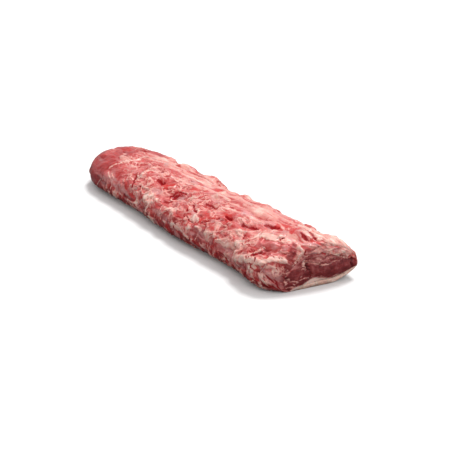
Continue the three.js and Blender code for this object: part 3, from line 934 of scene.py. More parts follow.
@dataclass
class CutFace:
    """The clean cut across the loin, with its muscles and the seams of fat between them."""

    x: float = 280.0
    slant: float = 0.09
    centre: Tuple[float, float] = (28.0, 24.0)
    swells: Tuple[Tuple[float, float, float, float, float], ...] = (
        (31, 20, 44, 18, 4.5),
        (-16, 21, 22, 14, 3),
        (-20, 8, 40, 9, 1.5),
        (18, 39, 62, 15, 1.5),
        (-1, 25, 15, 26, -3),
    )
    seams: Tuple[Stroke, ...] = (
        Stroke(((-5, 35), (-3, 28), (2, 22), (3, 16), (1, 10)), 1.8),
        Stroke(((-24, 36), (-33, 28), (-35, 23), (-30, 16)), 1.7),
        Stroke(((-30, 20), (-27, 14)), 1.2),
        Stroke(((-44, 13), (-30, 14), (-14, 13), (3, 13)), 1.4),
        Stroke(((-34, 6), (-14, 5), (4, 9), (12, 12), (26, 10), (44, 10), (56, 14)), 1.6),
        Stroke(((0, 31), (10, 29), (20, 27), (32, 29), (46, 31), (58, 27)), 1.1),
        Stroke(((6, 38), (20, 35), (34, 37), (48, 35)), 0.8),
        Stroke(((58, 28), (60, 21), (60, 15)), 1.0),
        Stroke(((-14, 42), (-5, 46), (12, 48), (28, 47), (44, 43), (58, 36)), 2.2),
    )

    crevices: Tuple[Stroke, ...] = (
        Stroke(((-4, 33), (-1, 27), (3, 21), (2, 13)), 1.3),
        Stroke(((59, 31), (61, 24), (60, 16)), 1.3),
        Stroke(((-38, 27), (-36, 22), (-31, 17)), 1.1),
    )
    top_edge: Tuple[Tuple[float, ...], Tuple[float, ...]] = (
        (-44, -24, -14, -5, 12, 25, 40, 55, 66),
        (30, 36, 40, 42, 42, 40, 35, 30, 25),
    )

    suet_edge: Tuple[Tuple[float, ...], Tuple[float, ...]] = (
        (-34, -20, -10, 0, 8, 15, 25, 45, 53, 60),
        (-2, 5, 7, 10, 13.5, 11, 9, 8, 8, 10),
    )

    def swell(self, y: Array, z: Array) -> Array:
        """How far the face swells out, in millimetres."""
        return sum(depth * hill((y - y0) / w, (z - z0) / h) for y0, z0, w, h, depth in self.swells)

    def place(self, y: Array, z: Array, bump: Array) -> Array:
        """Points of the face at Y and Z, raised by a bump."""
        return np.stack([self.x + self.slant * y + self.swell(y, z) + bump, y, z], axis=-1)

    def sample(self, y: Array, z: Array, inside: Array, noise: Sequence[Noise]) -> Dict[str, Array]:
        """Tissues and fine relief of the face.

        Args:
            y: places across, in millimetres.
            z: places up, in millimetres.
            inside: how far in from the rim, from 0 to 1.
            noise: noises to draw on.

        Returns:
            The same fields as for the skin, with the fine rise under "rise".
        """
        wy = y + 3.2 * noise[1].layered(y / 14, z / 10, 3)
        wz = z + 2.2 * noise[2].layered(y / 12, z / 9, 3)
        fat = np.zeros_like(y)
        for seam in self.seams:
            fat = np.maximum(fat, seam.share(wy, wz))
        marbling = noise[9].ridges(wy / 13, wz / 4.5, 3, 0.3)
        cover = smoothstep(z + 2 * noise[3].layered(y / 12, z / 9, 2), 27, 33)
        side = 1 - smoothstep(y, -10, 0)
        broken = np.clip(0.62 + 0.55 * noise[5].layered(y / 9, z / 6, 3), 0, 1.3)
        layer = noise[10].layered(wy / 22, wz / 3.2, 3, 0.6)
        fat = 0.5 * fat * broken + (0.06 + 0.3 * cover) * marbling * broken + 0.08 + 0.10 * cover * layer
        fat += (0.1 + 0.2 * cover) * smoothstep(noise[6].layered(y / 5, z / 3.5, 3, 0.7), 0.1, 0.7)
        fat += 0.45 * side * smoothstep(noise[5].layered(wy / 13, wz / 6, 3, 0.6), 0.15, 0.6)
        torn = noise[5].layered(y / 7, z / 7, 3, 0.6)
        ragged = 0.5 * torn + 0.7 * noise[6].layered(y / 16, z / 9, 3, 0.6)
        above = z - np.interp(y, *self.top_edge) + 3.0 * ragged
        rim_strip = 0.5 * smoothstep(inside + 0.05 * ragged, 0.07, 0.02) * smoothstep(z, 14, 26)
        margin = np.maximum(smoothstep(above, 0, 2.5), rim_strip)
        border = np.exp(-((above - 0.5) / 1.8) ** 2)
        suet = smoothstep(np.interp(y, *self.suet_edge) - z + 1.2 * ragged, 0, 1.5)
        crevice = sum(seam.share(wy, wz) for seam in self.crevices)
        grain = noise[8].layered(wy / 5, wz / 3, 3)
        groove = sum(seam.share(wy, wz) for seam in self.seams[:2]) + seam_gap(self.seams[5], wy, wz)
        # Painted shade: the crevices and the crease along the top edge are darker and redder; the margin strip is
        # lighter, partly its own paler tissue and partly painted light
        return {
            "fat": np.maximum(fat + margin * (0.28 + 0.65 * ragged - 0.5 * fat) - 0.3 * crevice, 0.95 * suet),
            "blood_and_shade": 0.35 * noise[3].layered(wy / 12, wz / 9, 3) * (1 - 0.6 * cover) + 0.3 * crevice,
            "silverskin": 0.4 * cover * (0.7 + 0.9 * layer) * (1 - margin) + 0.35 * margin,
            "bright": 0.5 * smoothstep(above, 0, 2.5) * (1 + 2 * torn) + 0.8 * border * (0.6 + torn),
            "tone": (
                0.42 + 0.36 * cover + 0.3 * cover * layer + 0.36 * noise[4].layered(wy / 11, wz / 6, 4, 0.6)
                + 0.7 * margin - 0.5 * crevice - 0.3 * border
            ),
            "cut": 1 - margin,
            "rise": smoothstep(inside, 0, 0.08) * (
                0.5 * grain + 0.9 * cover * layer + (0.8 + 0.8 * margin) * ragged + 1.2 * margin
                - groove - 1.8 * crevice - 0.8 * border
            ),
        }


def seam_gap(seam: Stroke, y: Array, z: Array) -> Array:
    """A soft furrow along a seam, wider than its fat."""
    return np.sqrt(seam.share(y, z))


FIELDS = ("fat", "blood_and_shade", "silverskin", "bright", "tone", "cut", "sheet", "torn")


def flow_of(along: Array, round_: Array) -> Array:
    """Along and round as one vector in metres, which patterns on the skin follow."""
    along, round_ = np.broadcast_arrays(along, round_)
    return np.stack([along, round_, np.zeros_like(along)], axis=-1) * MM


class SkinMesh:
    """Gathers points, faces and fields, and makes one closed mesh of them."""

    def __init__(self, numbers: Sequence[str], vectors: Sequence[str]) -> None:
        """Starts empty, with the names of the fields that every point has."""
        self.points: List[Array] = []
        self.faces: List[Array] = []
        self.widths = {**{name: 1 for name in numbers}, **{name: 3 for name in vectors}}
        self.fields: Dict[str, List[Array]] = {name: [] for name in self.widths}
        self.count = 0

    def add(self, points: Array, fields: Dict[str, Array]) -> Array:
        """Adds points of any grid.

        Args:
            points: places in millimetres, the last axis being X, Y and Z.
            fields: values of each field at each point; a field that is left out is 0.

        Returns:
            The points' numbers, in the grid's shape.
        """
        shape = points.shape[:-1]
        size = int(np.prod(shape))
        self.points.append(points.reshape(size, 3))
        for name, values in self.fields.items():
            width = self.widths[name]
            wide = shape if width == 1 else (*shape, width)
            values.append(np.broadcast_to(fields.get(name, 0.0), wide).reshape(size * width))
        numbers = np.arange(self.count, self.count + size).reshape(shape)
        self.count += size
        return numbers

    def quads(self, a: Array, b: Array, c: Array, d: Array) -> None:
        """Adds four-cornered faces from four equal lists of corners."""
        self.faces.append(np.stack([a.ravel(), b.ravel(), c.ravel(), d.ravel()], axis=-1))

    def join_closed(self, grid: Array) -> None:
        """Joins the closed rings that are the rows of a grid, the first one nearest the tip."""
        after = np.roll(grid, -1, axis=1)
        self.quads(grid[:-1], after[:-1], after[1:], grid[1:])

    def fan(self, ring: Array, tip: int, is_first: bool) -> None:
        """Closes a ring with triangles to one point."""
        after = np.roll(ring, -1)
        pair = (after, ring) if is_first else (ring, after)
        self.faces.append(np.stack([*pair, np.full_like(ring, tip)], axis=-1))

    def build(self, name: str, loft: Loft) -> bpy.types.Object:
        """Makes the object.

        Args:
            name: its name.
            loft: the loft whose frame the points are in.

        Returns:
            A mesh object at the origin, with its fields as attributes.
        """
        mesh = bpy.data.meshes.new(name)
        points = loft.to_frame(np.concatenate(self.points))
        sizes = np.concatenate([np.full(len(f), f.shape[1]) for f in self.faces])
        corners = np.concatenate([f.ravel() for f in self.faces])
        mesh.vertices.add(len(points))
        mesh.vertices.foreach_set("co", points.ravel())
        mesh.loops.add(len(corners))
        mesh.loops.foreach_set("vertex_index", corners.astype(np.int32))
        mesh.polygons.add(len(sizes))
        starts = np.concatenate([[0], np.cumsum(sizes)[:-1]])
        mesh.polygons.foreach_set("loop_start", starts.astype(np.int32))
        mesh.polygons.foreach_set("loop_total", sizes.astype(np.int32))
        mesh.update(calc_edges=True)
        for field_name, values in self.fields.items():
            is_vector = self.widths[field_name] == 3
            layer = mesh.attributes.new(field_name, "FLOAT_VECTOR" if is_vector else "FLOAT", "POINT")
            data = np.concatenate(values).astype(np.float32)
            layer.data.foreach_set("vector" if is_vector else "value", data)
        mesh.shade_smooth()
        item = bpy.data.objects.new(name, mesh)
        bpy.context.collection.objects.link(item)
        return item


Value = Union[bpy.types.NodeSocket, float, int, str, Tuple[float, ...], Vector]


def add_node(
    tree: bpy.types.NodeTree, kind: str, inputs: Optional[Dict[Union[str, int], Value]] = None, **settings: Any
) -> bpy.types.Node:
    """Adds a node with its settings, values and links.

    Args:
        tree: the tree it goes in.
        kind: the node's type.
        inputs: a value, or the socket that feeds it, for each input by name or number.
        settings: properties of the node.

    Returns:
        The node.
    """
    node = tree.nodes.new(kind)
    for name, value in settings.items():
        setattr(node, name, value)
    for key, value in (inputs or {}).items():
        if isinstance(value, bpy.types.NodeSocket):
            tree.links.new(value, node.inputs[key])
        else:
            node.inputs[key].default_value = value
    return node


def realised(item: bpy.types.Object, name: str) -> bpy.types.Object:
    """Turns an object and its modifiers into a new plain mesh object, and removes the first one.

    Args:
        item: the object.
        name: name of the new one.

    Returns:
        The plain object, at the origin.
    """
    graph = bpy.context.evaluated_depsgraph_get()
    mesh = bpy.data.meshes.new_from_object(item.evaluated_get(graph), preserve_all_data_layers=True, depsgraph=graph)
    mesh.name = name
    bpy.data.objects.remove(item)
    plain = bpy.data.objects.new(name, mesh)
    bpy.context.collection.objects.link(plain)
    mesh.shade_smooth()
    return plain


def run_tree(item: bpy.types.Object, tree: bpy.types.NodeTree, values: Dict[str, Any]) -> None:
    """Puts a Geometry Nodes tree on an object and sets its inputs by their identifiers.

    Args:
        item: the object.
        tree: the tree.
        values: a value for each named input.
    """
    modifier = item.modifiers.new(tree.name, "NODES")
    modifier.node_group = tree
    for socket in tree.interface.items_tree:
        if socket.name in values and socket.in_out == "INPUT":
            modifier[socket.identifier] = values[socket.name]


def new_tree(name: str, inputs: Sequence[Tuple[str, str, float]]) -> Tuple[bpy.types.NodeTree, bpy.types.Node]:
    """Starts a Geometry Nodes tree.

    Args:
        name: its name.
        inputs: name, socket type and default value of each input after the geometry.

    Returns:
        The tree and its input node.
    """
    tree = bpy.data.node_groups.new(name, "GeometryNodeTree")
    tree.interface.new_socket("Geometry", in_out="INPUT", socket_type="NodeSocketGeometry")
    for title, kind, value in inputs:
        socket = tree.interface.new_socket(title, in_out="INPUT", socket_type=kind)
        if kind != "NodeSocketMaterial":
            socket.default_value = value
    tree.interface.new_socket("Geometry", in_out="OUTPUT", socket_type="NodeSocketGeometry")
    return tree, tree.nodes.new("NodeGroupInput")


def finish_tree(tree: bpy.types.NodeTree, geometry: bpy.types.NodeSocket, material: bpy.types.NodeSocket) -> None:
    """Ends a Geometry Nodes tree with real geometry and its material."""
    real = add_node(tree, "GeometryNodeRealizeInstances", {"Geometry": geometry})
    coated = add_node(tree, "GeometryNodeSetMaterial", {"Geometry": real.outputs[0], "Material": material})
    add_node(tree, "NodeGroupOutput", {0: coated.outputs[0]})


@dataclass(frozen=True)
class FibreRelief:
    """Fine muscle fibres and grain that lift the skin, as a Geometry Nodes tree. Sizes in metres."""

    fibre_run: float = 0.034
    fibre_pitch: float = 0.0042
    fibre_turn: float = 14.0
    fibre_depth: float = 0.0006
    grain_size: float = 0.0055
    grain_depth: float = 0.0005
    seed: int = 5

    def tree(self) -> bpy.types.NodeTree:
        """Builds the tree: noise along the skin's own directions pushes points along the normal."""
        metre = "NodeSocketFloat"
        tree, given = new_tree("Fibre relief", (
            ("Fibre Run", metre, 0.03),
            ("Fibre Pitch", metre, 0.004),
            ("Fibre Turn", metre, 0.2),
            ("Fibre Depth", metre, 0.0005),
            ("Grain Size", metre, 0.005),
            ("Grain Depth", metre, 0.0004),
            ("Seed", "NodeSocketInt", 0),
            ("Material", "NodeSocketMaterial", 0),
        ))
        flow = add_node(tree, "GeometryNodeInputNamedAttribute", {"Name": "flow"}, data_type="FLOAT_VECTOR")
        cut = add_node(tree, "GeometryNodeInputNamedAttribute", {"Name": "cut"}, data_type="FLOAT")
        turned_flow = add_node(
            tree, "ShaderNodeVectorRotate", {"Vector": flow.outputs[0], "Angle": given.outputs["Fibre Turn"]},
            rotation_type="Z_AXIS", invert=True,
        )
        size = add_node(
            tree, "ShaderNodeCombineXYZ",
            {0: given.outputs["Fibre Run"], 1: given.outputs["Fibre Pitch"], 2: 1.0},
        )
        place = add_node(tree, "ShaderNodeVectorMath", {0: turned_flow.outputs[0], 1: size.outputs[0]}, operation="DIVIDE")
        fibre = add_node(
            tree, "ShaderNodeTexNoise",
            {"Vector": place.outputs[0], "W": given.outputs["Seed"], "Scale": 1.0, "Detail": 2.0},
            noise_dimensions="4D",
        )
        grain_scale = add_node(tree, "ShaderNodeMath", {0: 1.0, 1: given.outputs["Grain Size"]}, operation="DIVIDE")
        grain = add_node(
            tree, "ShaderNodeTexNoise",
            {"W": given.outputs["Seed"], "Scale": grain_scale.outputs[0], "Detail": 3.0},
            noise_dimensions="4D",
        )
        lift = None
        for noise, depth in ((fibre, "Fibre Depth"), (grain, "Grain Depth")):
            centred = add_node(tree, "ShaderNodeMath", {0: noise.outputs[0], 1: 0.5}, operation="SUBTRACT")
            part = add_node(tree, "ShaderNodeMath", {0: centred.outputs[0], 1: given.outputs[depth]}, operation="MULTIPLY")
            lift = part if lift is None else add_node(tree, "ShaderNodeMath", {0: lift.outputs[0], 1: part.outputs[0]})
        whole = add_node(tree, "ShaderNodeMath", {0: 1.0, 1: cut.outputs[0]}, operation="SUBTRACT")
        kept = add_node(tree, "ShaderNodeMath", {0: lift.outputs[0], 1: whole.outputs[0]}, operation="MULTIPLY")
        doubled = add_node(tree, "ShaderNodeMath", {0: kept.outputs[0], 1: 2.0}, operation="MULTIPLY")
        height = add_node(tree, "ShaderNodeSeparateXYZ", {0: add_node(tree, "GeometryNodeInputPosition").outputs[0]})
        clear = remap(tree, height.outputs["Z"], 0.001, 0.006)
        lifted = add_node(tree, "ShaderNodeMath", {0: doubled.outputs[0], 1: clear}, operation="MULTIPLY")
        normal = add_node(tree, "GeometryNodeInputNormal")
        push = add_node(
            tree, "ShaderNodeVectorMath", {0: normal.outputs[0], "Scale": lifted.outputs[0]}, operation="SCALE",
        )
        moved = add_node(tree, "GeometryNodeSetPosition", {"Geometry": given.outputs[0], "Offset": push.outputs[0]})
        finish_tree(tree, moved.outputs[0], given.outputs["Material"])
        return tree

    def apply(self, item: bpy.types.Object, name: str, material: bpy.types.Material) -> bpy.types.Object:
        """Lifts the skin of an object and gives back the plain result.

        Args:
            item: the smooth object.
            name: name of the result.
            material: its material.

        Returns:
            The new object.
        """
        run_tree(item, self.tree(), {
            "Fibre Run": self.fibre_run,
            "Fibre Pitch": self.fibre_pitch,
            "Fibre Turn": math.radians(self.fibre_turn),
            "Fibre Depth": self.fibre_depth,
            "Grain Size": self.grain_size,
            "Grain Depth": self.grain_depth,
            "Seed": self.seed,
            "Material": material,
        })
        return realised(item, name)


@dataclass(frozen=True)
class Sinews:
    """Loose threads of fat and sinew that lie on the lean, scattered over it by Geometry Nodes."""

    per_square_metre: float = 900.0
    length: Tuple[float, float] = (0.007, 0.016)
    width: Tuple[float, float] = (0.0006, 0.0012)
    thickness: float = 0.0005
    clearance: float = 0.0004
    stray: float = 0.5
    seed: int = 3

    def tree(self) -> bpy.types.NodeTree:
        """Builds the tree: tapered bent threads on random points, laid along the skin."""
        number = "NodeSocketFloat"
        tree, given = new_tree("Sinews", (
            ("Density", number, 5000),
            ("Shortest", number, 0.006),
            ("Longest", number, 0.015),
            ("Thinnest", number, 0.001),
            ("Widest", number, 0.002),
            ("Thickness", number, 0.001),
            ("Clearance", number, 0.001),
            ("Stray", number, 0.5),
            ("Seed", "NodeSocketInt", 0),
            ("Material", "NodeSocketMaterial", 0),
        ))
        weight = add_node(tree, "GeometryNodeInputNamedAttribute", {"Name": "sinew"}, data_type="FLOAT")
        density = add_node(
            tree, "ShaderNodeMath", {0: weight.outputs[0], 1: given.outputs["Density"]}, operation="MULTIPLY",
        )
        spread = add_node(
            tree, "GeometryNodeDistributePointsOnFaces",
            {"Mesh": given.outputs[0], "Density": density.outputs[0], "Seed": given.outputs["Seed"]},
        )
        bend = add_node(tree, "GeometryNodeCurvePrimitiveBezierSegment", {
            "Resolution": 7,
            "Start": (-0.5, -1.2, 0.0),
            "Start Handle": (-0.2, 2.6, 0.0),
            "End Handle": (0.2, -3.4, 0.0),
            "End": (0.5, 1.2, 0.0),
        })
        way = add_node(tree, "GeometryNodeSplineParameter")
        arc = add_node(tree, "ShaderNodeMath", {0: way.outputs["Factor"], 1: math.pi}, operation="MULTIPLY")
        taper = add_node(tree, "ShaderNodeMath", {0: arc.outputs[0]}, operation="SINE")
        radius = add_node(tree, "ShaderNodeMath", {0: taper.outputs[0], 1: 0.12}, operation="ADD")
        tapered = add_node(tree, "GeometryNodeSetCurveRadius", {"Curve": bend.outputs[0], "Radius": radius.outputs[0]})
        profile = add_node(tree, "GeometryNodeCurvePrimitiveCircle", {"Resolution": 5, "Radius": 0.45})
        thread = add_node(
            tree, "GeometryNodeCurveToMesh",
            {"Curve": tapered.outputs[0], "Profile Curve": profile.outputs[0], "Fill Caps": True},
        )
        upright = add_node(
            tree, "FunctionNodeAlignRotationToVector", {"Vector": spread.outputs["Normal"]}, axis="Z",
        )
        run = add_node(tree, "GeometryNodeInputNamedAttribute", {"Name": "run"}, data_type="FLOAT_VECTOR")
        laid = add_node(
            tree, "FunctionNodeAlignRotationToVector",
            {"Rotation": upright.outputs[0], "Vector": run.outputs[0]}, axis="X", pivot_axis="Z",
        )
        opposite = add_node(tree, "ShaderNodeMath", {0: given.outputs["Stray"], 1: -1.0}, operation="MULTIPLY")
        stray = add_node(
            tree, "FunctionNodeRandomValue",
            {2: opposite.outputs[0], 3: given.outputs["Stray"], "Seed": 11}, data_type="FLOAT",
        )
        swing = add_node(tree, "ShaderNodeCombineXYZ", {2: stray.outputs[1]})
        turned_thread = add_node(
            tree, "FunctionNodeRotateRotation",
            {"Rotation": laid.outputs[0], "Rotate By": swing.outputs[0]}, rotation_space="LOCAL",
        )
        length = add_node(
            tree, "FunctionNodeRandomValue",
            {2: given.outputs["Shortest"], 3: given.outputs["Longest"], "Seed": 12}, data_type="FLOAT",
        )
        width = add_node(
            tree, "FunctionNodeRandomValue",
            {2: given.outputs["Thinnest"], 3: given.outputs["Widest"], "Seed": 13}, data_type="FLOAT",
        )
        size = add_node(
            tree, "ShaderNodeCombineXYZ", {0: length.outputs[1], 1: width.outputs[1], 2: given.outputs["Thickness"]},
        )
        placed = add_node(tree, "GeometryNodeInstanceOnPoints", {
            "Points": spread.outputs["Points"],
            "Instance": thread.outputs[0],
            "Rotation": turned_thread.outputs[0],
            "Scale": size.outputs[0],
        })
        threads = add_node(tree, "GeometryNodeRealizeInstances", {0: placed.outputs[0]})

        # Draping: no point of a thread stays further from the skin than its clearance
        nearest = add_node(tree, "GeometryNodeProximity", {0: given.outputs[0]})
        share = add_node(
            tree, "ShaderNodeMath", {0: given.outputs["Clearance"], 1: nearest.outputs["Distance"]}, operation="DIVIDE",
        )
        kept = add_node(tree, "ShaderNodeMath", {0: share.outputs[0], 1: 1.0}, operation="MINIMUM")
        position = add_node(tree, "GeometryNodeInputPosition")
        away = add_node(
            tree, "ShaderNodeVectorMath", {0: position.outputs[0], 1: nearest.outputs["Position"]},
            operation="SUBTRACT",
        )
        held = add_node(tree, "ShaderNodeVectorMath", {0: away.outputs[0], 3: kept.outputs[0]}, operation="SCALE")
        draped = add_node(
            tree, "ShaderNodeVectorMath", {0: nearest.outputs["Position"], 1: held.outputs[0]}, operation="ADD",
        )
        laid_down = add_node(
            tree, "GeometryNodeSetPosition", {"Geometry": threads.outputs[0], "Position": draped.outputs[0]},
        )
        finish_tree(tree, laid_down.outputs[0], given.outputs["Material"])
        return tree

    def build(self, skin: bpy.types.Mesh, material: bpy.types.Material) -> bpy.types.Object:
        """Scatters the threads over a skin.

        Args:
            skin: the lean's mesh, with its "sinew" and "run" attributes.
            material: the threads' material.

        Returns:
            The threads as one plain mesh.
        """
        carrier = bpy.data.objects.new("sinew_carrier", skin.copy())
        bpy.context.collection.objects.link(carrier)
        run_tree(carrier, self.tree(), {
            "Density": self.per_square_metre,
            "Shortest": self.length[0],
            "Longest": self.length[1],
            "Thinnest": self.width[0],
            "Widest": self.width[1],
            "Thickness": self.thickness,
            "Clearance": self.clearance,
            "Stray": self.stray,
            "Seed": self.seed,
            "Material": material,
        })
        threads = realised(carrier, "sinews")
        threads.data.materials.clear()
        threads.data.materials.append(material)
        return threads


def blend_colours(
    tree: bpy.types.NodeTree, share: Value, under: Value, over: Value
) -> bpy.types.NodeSocket:
    """Lays one colour over another.

    Args:
        tree: the material's tree.
        share: how much of the upper colour shows.
        under: the lower colour.
        over: the upper colour.

    Returns:
        The socket of the mixed colour.
    """
    mix = add_node(tree, "ShaderNodeMix", {0: share, 6: under, 7: over}, data_type="RGBA")
    return mix.outputs[2]


def remap(tree: bpy.types.NodeTree, value: Value, low: float, high: float, to: Tuple[float, float] = (0.0, 1.0)
          ) -> bpy.types.NodeSocket:
    """Climbs smoothly from one value to another.

    Args:
        tree: the material's tree.
        value: what is read.
        low: where the climb starts.
        high: where it ends.
        to: the values at its start and end.

    Returns:
        The socket of the result.
    """
    node = add_node(
        tree, "ShaderNodeMapRange",
        {"Value": value, "From Min": low, "From Max": high, "To Min": to[0], "To Max": to[1]},
        interpolation_type="SMOOTHSTEP",
    )
    return node.outputs[0]


def weighted_sum(tree: bpy.types.NodeTree, parts: Sequence[Tuple[Value, float]]) -> bpy.types.NodeSocket:
    """Adds values up, each times its weight.

    Args:
        tree: the material's tree.
        parts: values and weights.

    Returns:
        The socket of the sum.
    """
    total: Value = 0.0
    for value, weight in parts:
        node = add_node(tree, "ShaderNodeMath", {0: value, 1: weight, 2: total}, operation="MULTIPLY_ADD")
        total = node.outputs[0]
    return total


def new_material(name: str) -> Tuple[bpy.types.Material, bpy.types.NodeTree]:
    """Starts an empty material."""
    material = bpy.data.materials.new(name)
    material.use_nodes = True
    material.node_tree.nodes.clear()
    return material, material.node_tree


@dataclass(frozen=True)
class FreshBeef:
    """Raw beef, cut and pulled by hand: moist myoglobin-red muscle under a thin wet film.

    Deep red where it is freshly opened, mauve under silverskin, and pink to cream where fat lies on
    it. Light enters a few millimetres, red furthest, which softens the relief.
    """

    deep: str = "#96191f"
    red: str = "#bb3836"
    rose: str = "#cf625f"
    mauve: str = "#d8908e"
    cut_deep: str = "#6a1c20"
    cut_red: str = "#8f3436"
    cut_mauve: str = "#c06c69"
    silverskin: str = "#d69a98"
    bright: str = "#cb2a26"
    # blood red, also the painted shade in slits, hollows, creases and the feet of sheets
    blood_and_shade: str = "#960a16"
    pink_fat: str = "#e39d93"
    cream_fat: str = "#f2ccbf"
    fibre_run: float = 0.028
    fibre_pitch: float = 0.0018
    fibre_turn: float = 13.0
    mottle_size: float = 0.0075
    grain_size: float = 0.0014
    thread_run: float = 0.017
    thread_pitch: float = 0.0065
    fibre_height: float = 0.00035
    light_depth: float = 0.0025

    def build(self) -> bpy.types.Material:
        """Builds the material.

        Returns:
            The material, which reads the lean's attributes and object coordinates.
        """
        material, tree = new_material("raw beef")
        fields = {
            name: add_node(tree, "ShaderNodeAttribute", attribute_name=name).outputs["Fac"] for name in FIELDS
        }
        flow = add_node(tree, "ShaderNodeAttribute", attribute_name="flow").outputs["Vector"]
        body = add_node(tree, "ShaderNodeTexCoord").outputs["Object"]

        # Fibres run along the joint; on the cut face they are seen end on, as a fine grain
        def stretched(run: float, pitch: float) -> bpy.types.NodeSocket:
            """Skin places measured in runs and pitches."""
            turn = add_node(
                tree, "ShaderNodeVectorRotate", {"Vector": flow, "Angle": math.radians(self.fibre_turn)},
                rotation_type="Z_AXIS", invert=True,
            )
            scaled = add_node(
                tree, "ShaderNodeVectorMath", {0: turn.outputs[0], 1: (1 / run, 1 / pitch, 1.0)}, operation="MULTIPLY",
            )
            return scaled.outputs[0]

        fibre = add_node(
            tree, "ShaderNodeTexNoise",
            {"Vector": stretched(self.fibre_run, self.fibre_pitch), "Scale": 1.0, "Detail": 3.0, "Distortion": 0.3},
        ).outputs[0]
        mottle = add_node(
            tree, "ShaderNodeTexNoise",
            {"Vector": body, "Scale": 1 / self.mottle_size, "Detail": 4.0, "Roughness": 0.62, "Distortion": 0.6},
        ).outputs[0]
        grain = add_node(
            tree, "ShaderNodeTexNoise", {"Vector": body, "Scale": 1 / self.grain_size, "Detail": 2.0},
        ).outputs[0]
        warp = add_node(tree, "ShaderNodeTexNoise", {"Vector": body, "Scale": 70.0, "Detail": 2.0})
        pull = add_node(
            tree, "ShaderNodeVectorMath",
            {0: warp.outputs[1], 1: (1.6, 1.6, 0.0), 2: stretched(self.thread_run, self.thread_pitch)},
            operation="MULTIPLY_ADD",
        )
        cells = add_node(
            tree, "ShaderNodeTexVoronoi", {"Vector": pull.outputs[0], "Scale": 1.0}, feature="DISTANCE_TO_EDGE",
            voronoi_dimensions="2D",
        )
        threads = remap(tree, cells.outputs["Distance"], 0.0, 0.13, (1.0, 0.0))
        marbling_place = add_node(
            tree, "ShaderNodeVectorMath", {0: body, 1: (1.0, 110.0, 240.0)}, operation="MULTIPLY",
        )
        marbling_pull = add_node(
            tree, "ShaderNodeVectorMath", {0: warp.outputs[1], 1: (0.0, 2.2, 2.2), 2: marbling_place.outputs[0]},
            operation="MULTIPLY_ADD",
        )
        marbling_cells = add_node(
            tree, "ShaderNodeTexVoronoi", {"Vector": marbling_pull.outputs[0], "Scale": 1.0},
            feature="DISTANCE_TO_EDGE",
        )
        marbling = remap(tree, marbling_cells.outputs["Distance"], 0.0, 0.09, (1.0, 0.0))
        cut = fields["cut"]
        skin = add_node(tree, "ShaderNodeMath", {0: 1.0, 1: cut}, operation="SUBTRACT").outputs[0]
        skin_threads = add_node(tree, "ShaderNodeMath", {0: threads, 1: skin}, operation="MULTIPLY").outputs[0]
        cut_threads = add_node(tree, "ShaderNodeMath", {0: marbling, 1: cut}, operation="MULTIPLY").outputs[0]

        # Lips of torn sheets are paler, partly pale tissue and partly a painted highlight; the foot of the next sheet
        # is painted shade, darker and redder
        wavy = weighted_sum(tree, ((fields["sheet"], 1.0), (mottle, 0.5)))
        part = add_node(tree, "ShaderNodeMath", {0: wavy}, operation="FRACT").outputs[0]
        lip = add_node(
            tree, "ShaderNodeMath", {0: remap(tree, part, 0.74, 0.93), 1: remap(tree, part, 0.96, 1.0, (1.0, 0.0))},
            operation="MULTIPLY",
        ).outputs[0]
        foot_shade = remap(tree, part, 0.0, 0.2, (1.0, 0.0))
        lip = add_node(tree, "ShaderNodeMath", {0: lip, 1: fields["torn"]}, operation="MULTIPLY").outputs[0]
        foot_shade = add_node(tree, "ShaderNodeMath", {0: foot_shade, 1: fields["torn"]}, operation="MULTIPLY").outputs[0]
        fat = weighted_sum(tree, (
            (fields["fat"], 1.0), (mottle, 0.26), (fibre, 0.22), (skin_threads, 0.05), (cut_threads, 0.12),
            (lip, 0.26), (foot_shade, -0.2), (1.0, -0.24),
        ))
        tone = weighted_sum(tree, (
            (fields["tone"], 1.0), (mottle, 0.4), (fibre, 0.4), (lip, 0.15), (foot_shade, -0.12), (1.0, -0.4),
        ))
        lean = add_node(tree, "ShaderNodeValToRGB", {0: tone})
        face = add_node(tree, "ShaderNodeValToRGB", {0: tone})
        for ramp, stops in (
            (lean.color_ramp, ((0.1, self.deep), (0.4, self.red), (0.64, self.rose), (0.92, self.mauve))),
            (face.color_ramp, ((0.1, self.cut_deep), (0.5, self.cut_red), (0.9, self.cut_mauve))),
        ):
            for _ in range(len(stops) - 2):
                ramp.elements.new(0.5)
            for element, (place, colour) in zip(ramp.elements, stops):
                element.position = place
                element.color = linear(colour)
        colour = blend_colours(tree, cut, lean.outputs[0], face.outputs[0])
        silver = weighted_sum(tree, ((fields["silverskin"], 1.0), (mottle, 0.5), (1.0, -0.25)))
        colour = blend_colours(tree, remap(tree, silver, 0.2, 1.0, (0.0, 0.7)), colour, linear(self.silverskin))
        bright = weighted_sum(tree, ((fields["bright"], 1.0), (mottle, 0.7), (1.0, -0.35)))
        colour = blend_colours(tree, remap(tree, bright, 0.2, 0.8, (0.0, 0.85)), colour, linear(self.bright))
        fat_share = remap(tree, fat, 0.24, 0.56)
        colour = blend_colours(tree, fat_share, colour, linear(self.pink_fat))
        colour = blend_colours(tree, remap(tree, fat, 0.5, 0.95), colour, linear(self.cream_fat))
        # Blood and painted shade: dark red over blood, slits, valleys and the feet of sheets, with no coat there
        blood_and_shade = weighted_sum(tree, ((fields["blood_and_shade"], 1.0), (mottle, 0.6), (foot_shade, 0.3), (1.0, -0.3)))
        blood_and_shade_share = remap(tree, blood_and_shade, 0.25, 0.85, (0.0, 0.92))
        colour = blend_colours(tree, blood_and_shade_share, colour, linear(self.blood_and_shade))
        clear_of_blood_and_shade = add_node(tree, "ShaderNodeMath", {0: 1.0, 1: blood_and_shade_share}, operation="SUBTRACT").outputs[0]
        film = remap(tree, mottle, 0.42, 0.66, (0.1, 0.8))
        coat = add_node(tree, "ShaderNodeMath", {0: film, 1: clear_of_blood_and_shade}, operation="MULTIPLY").outputs[0]

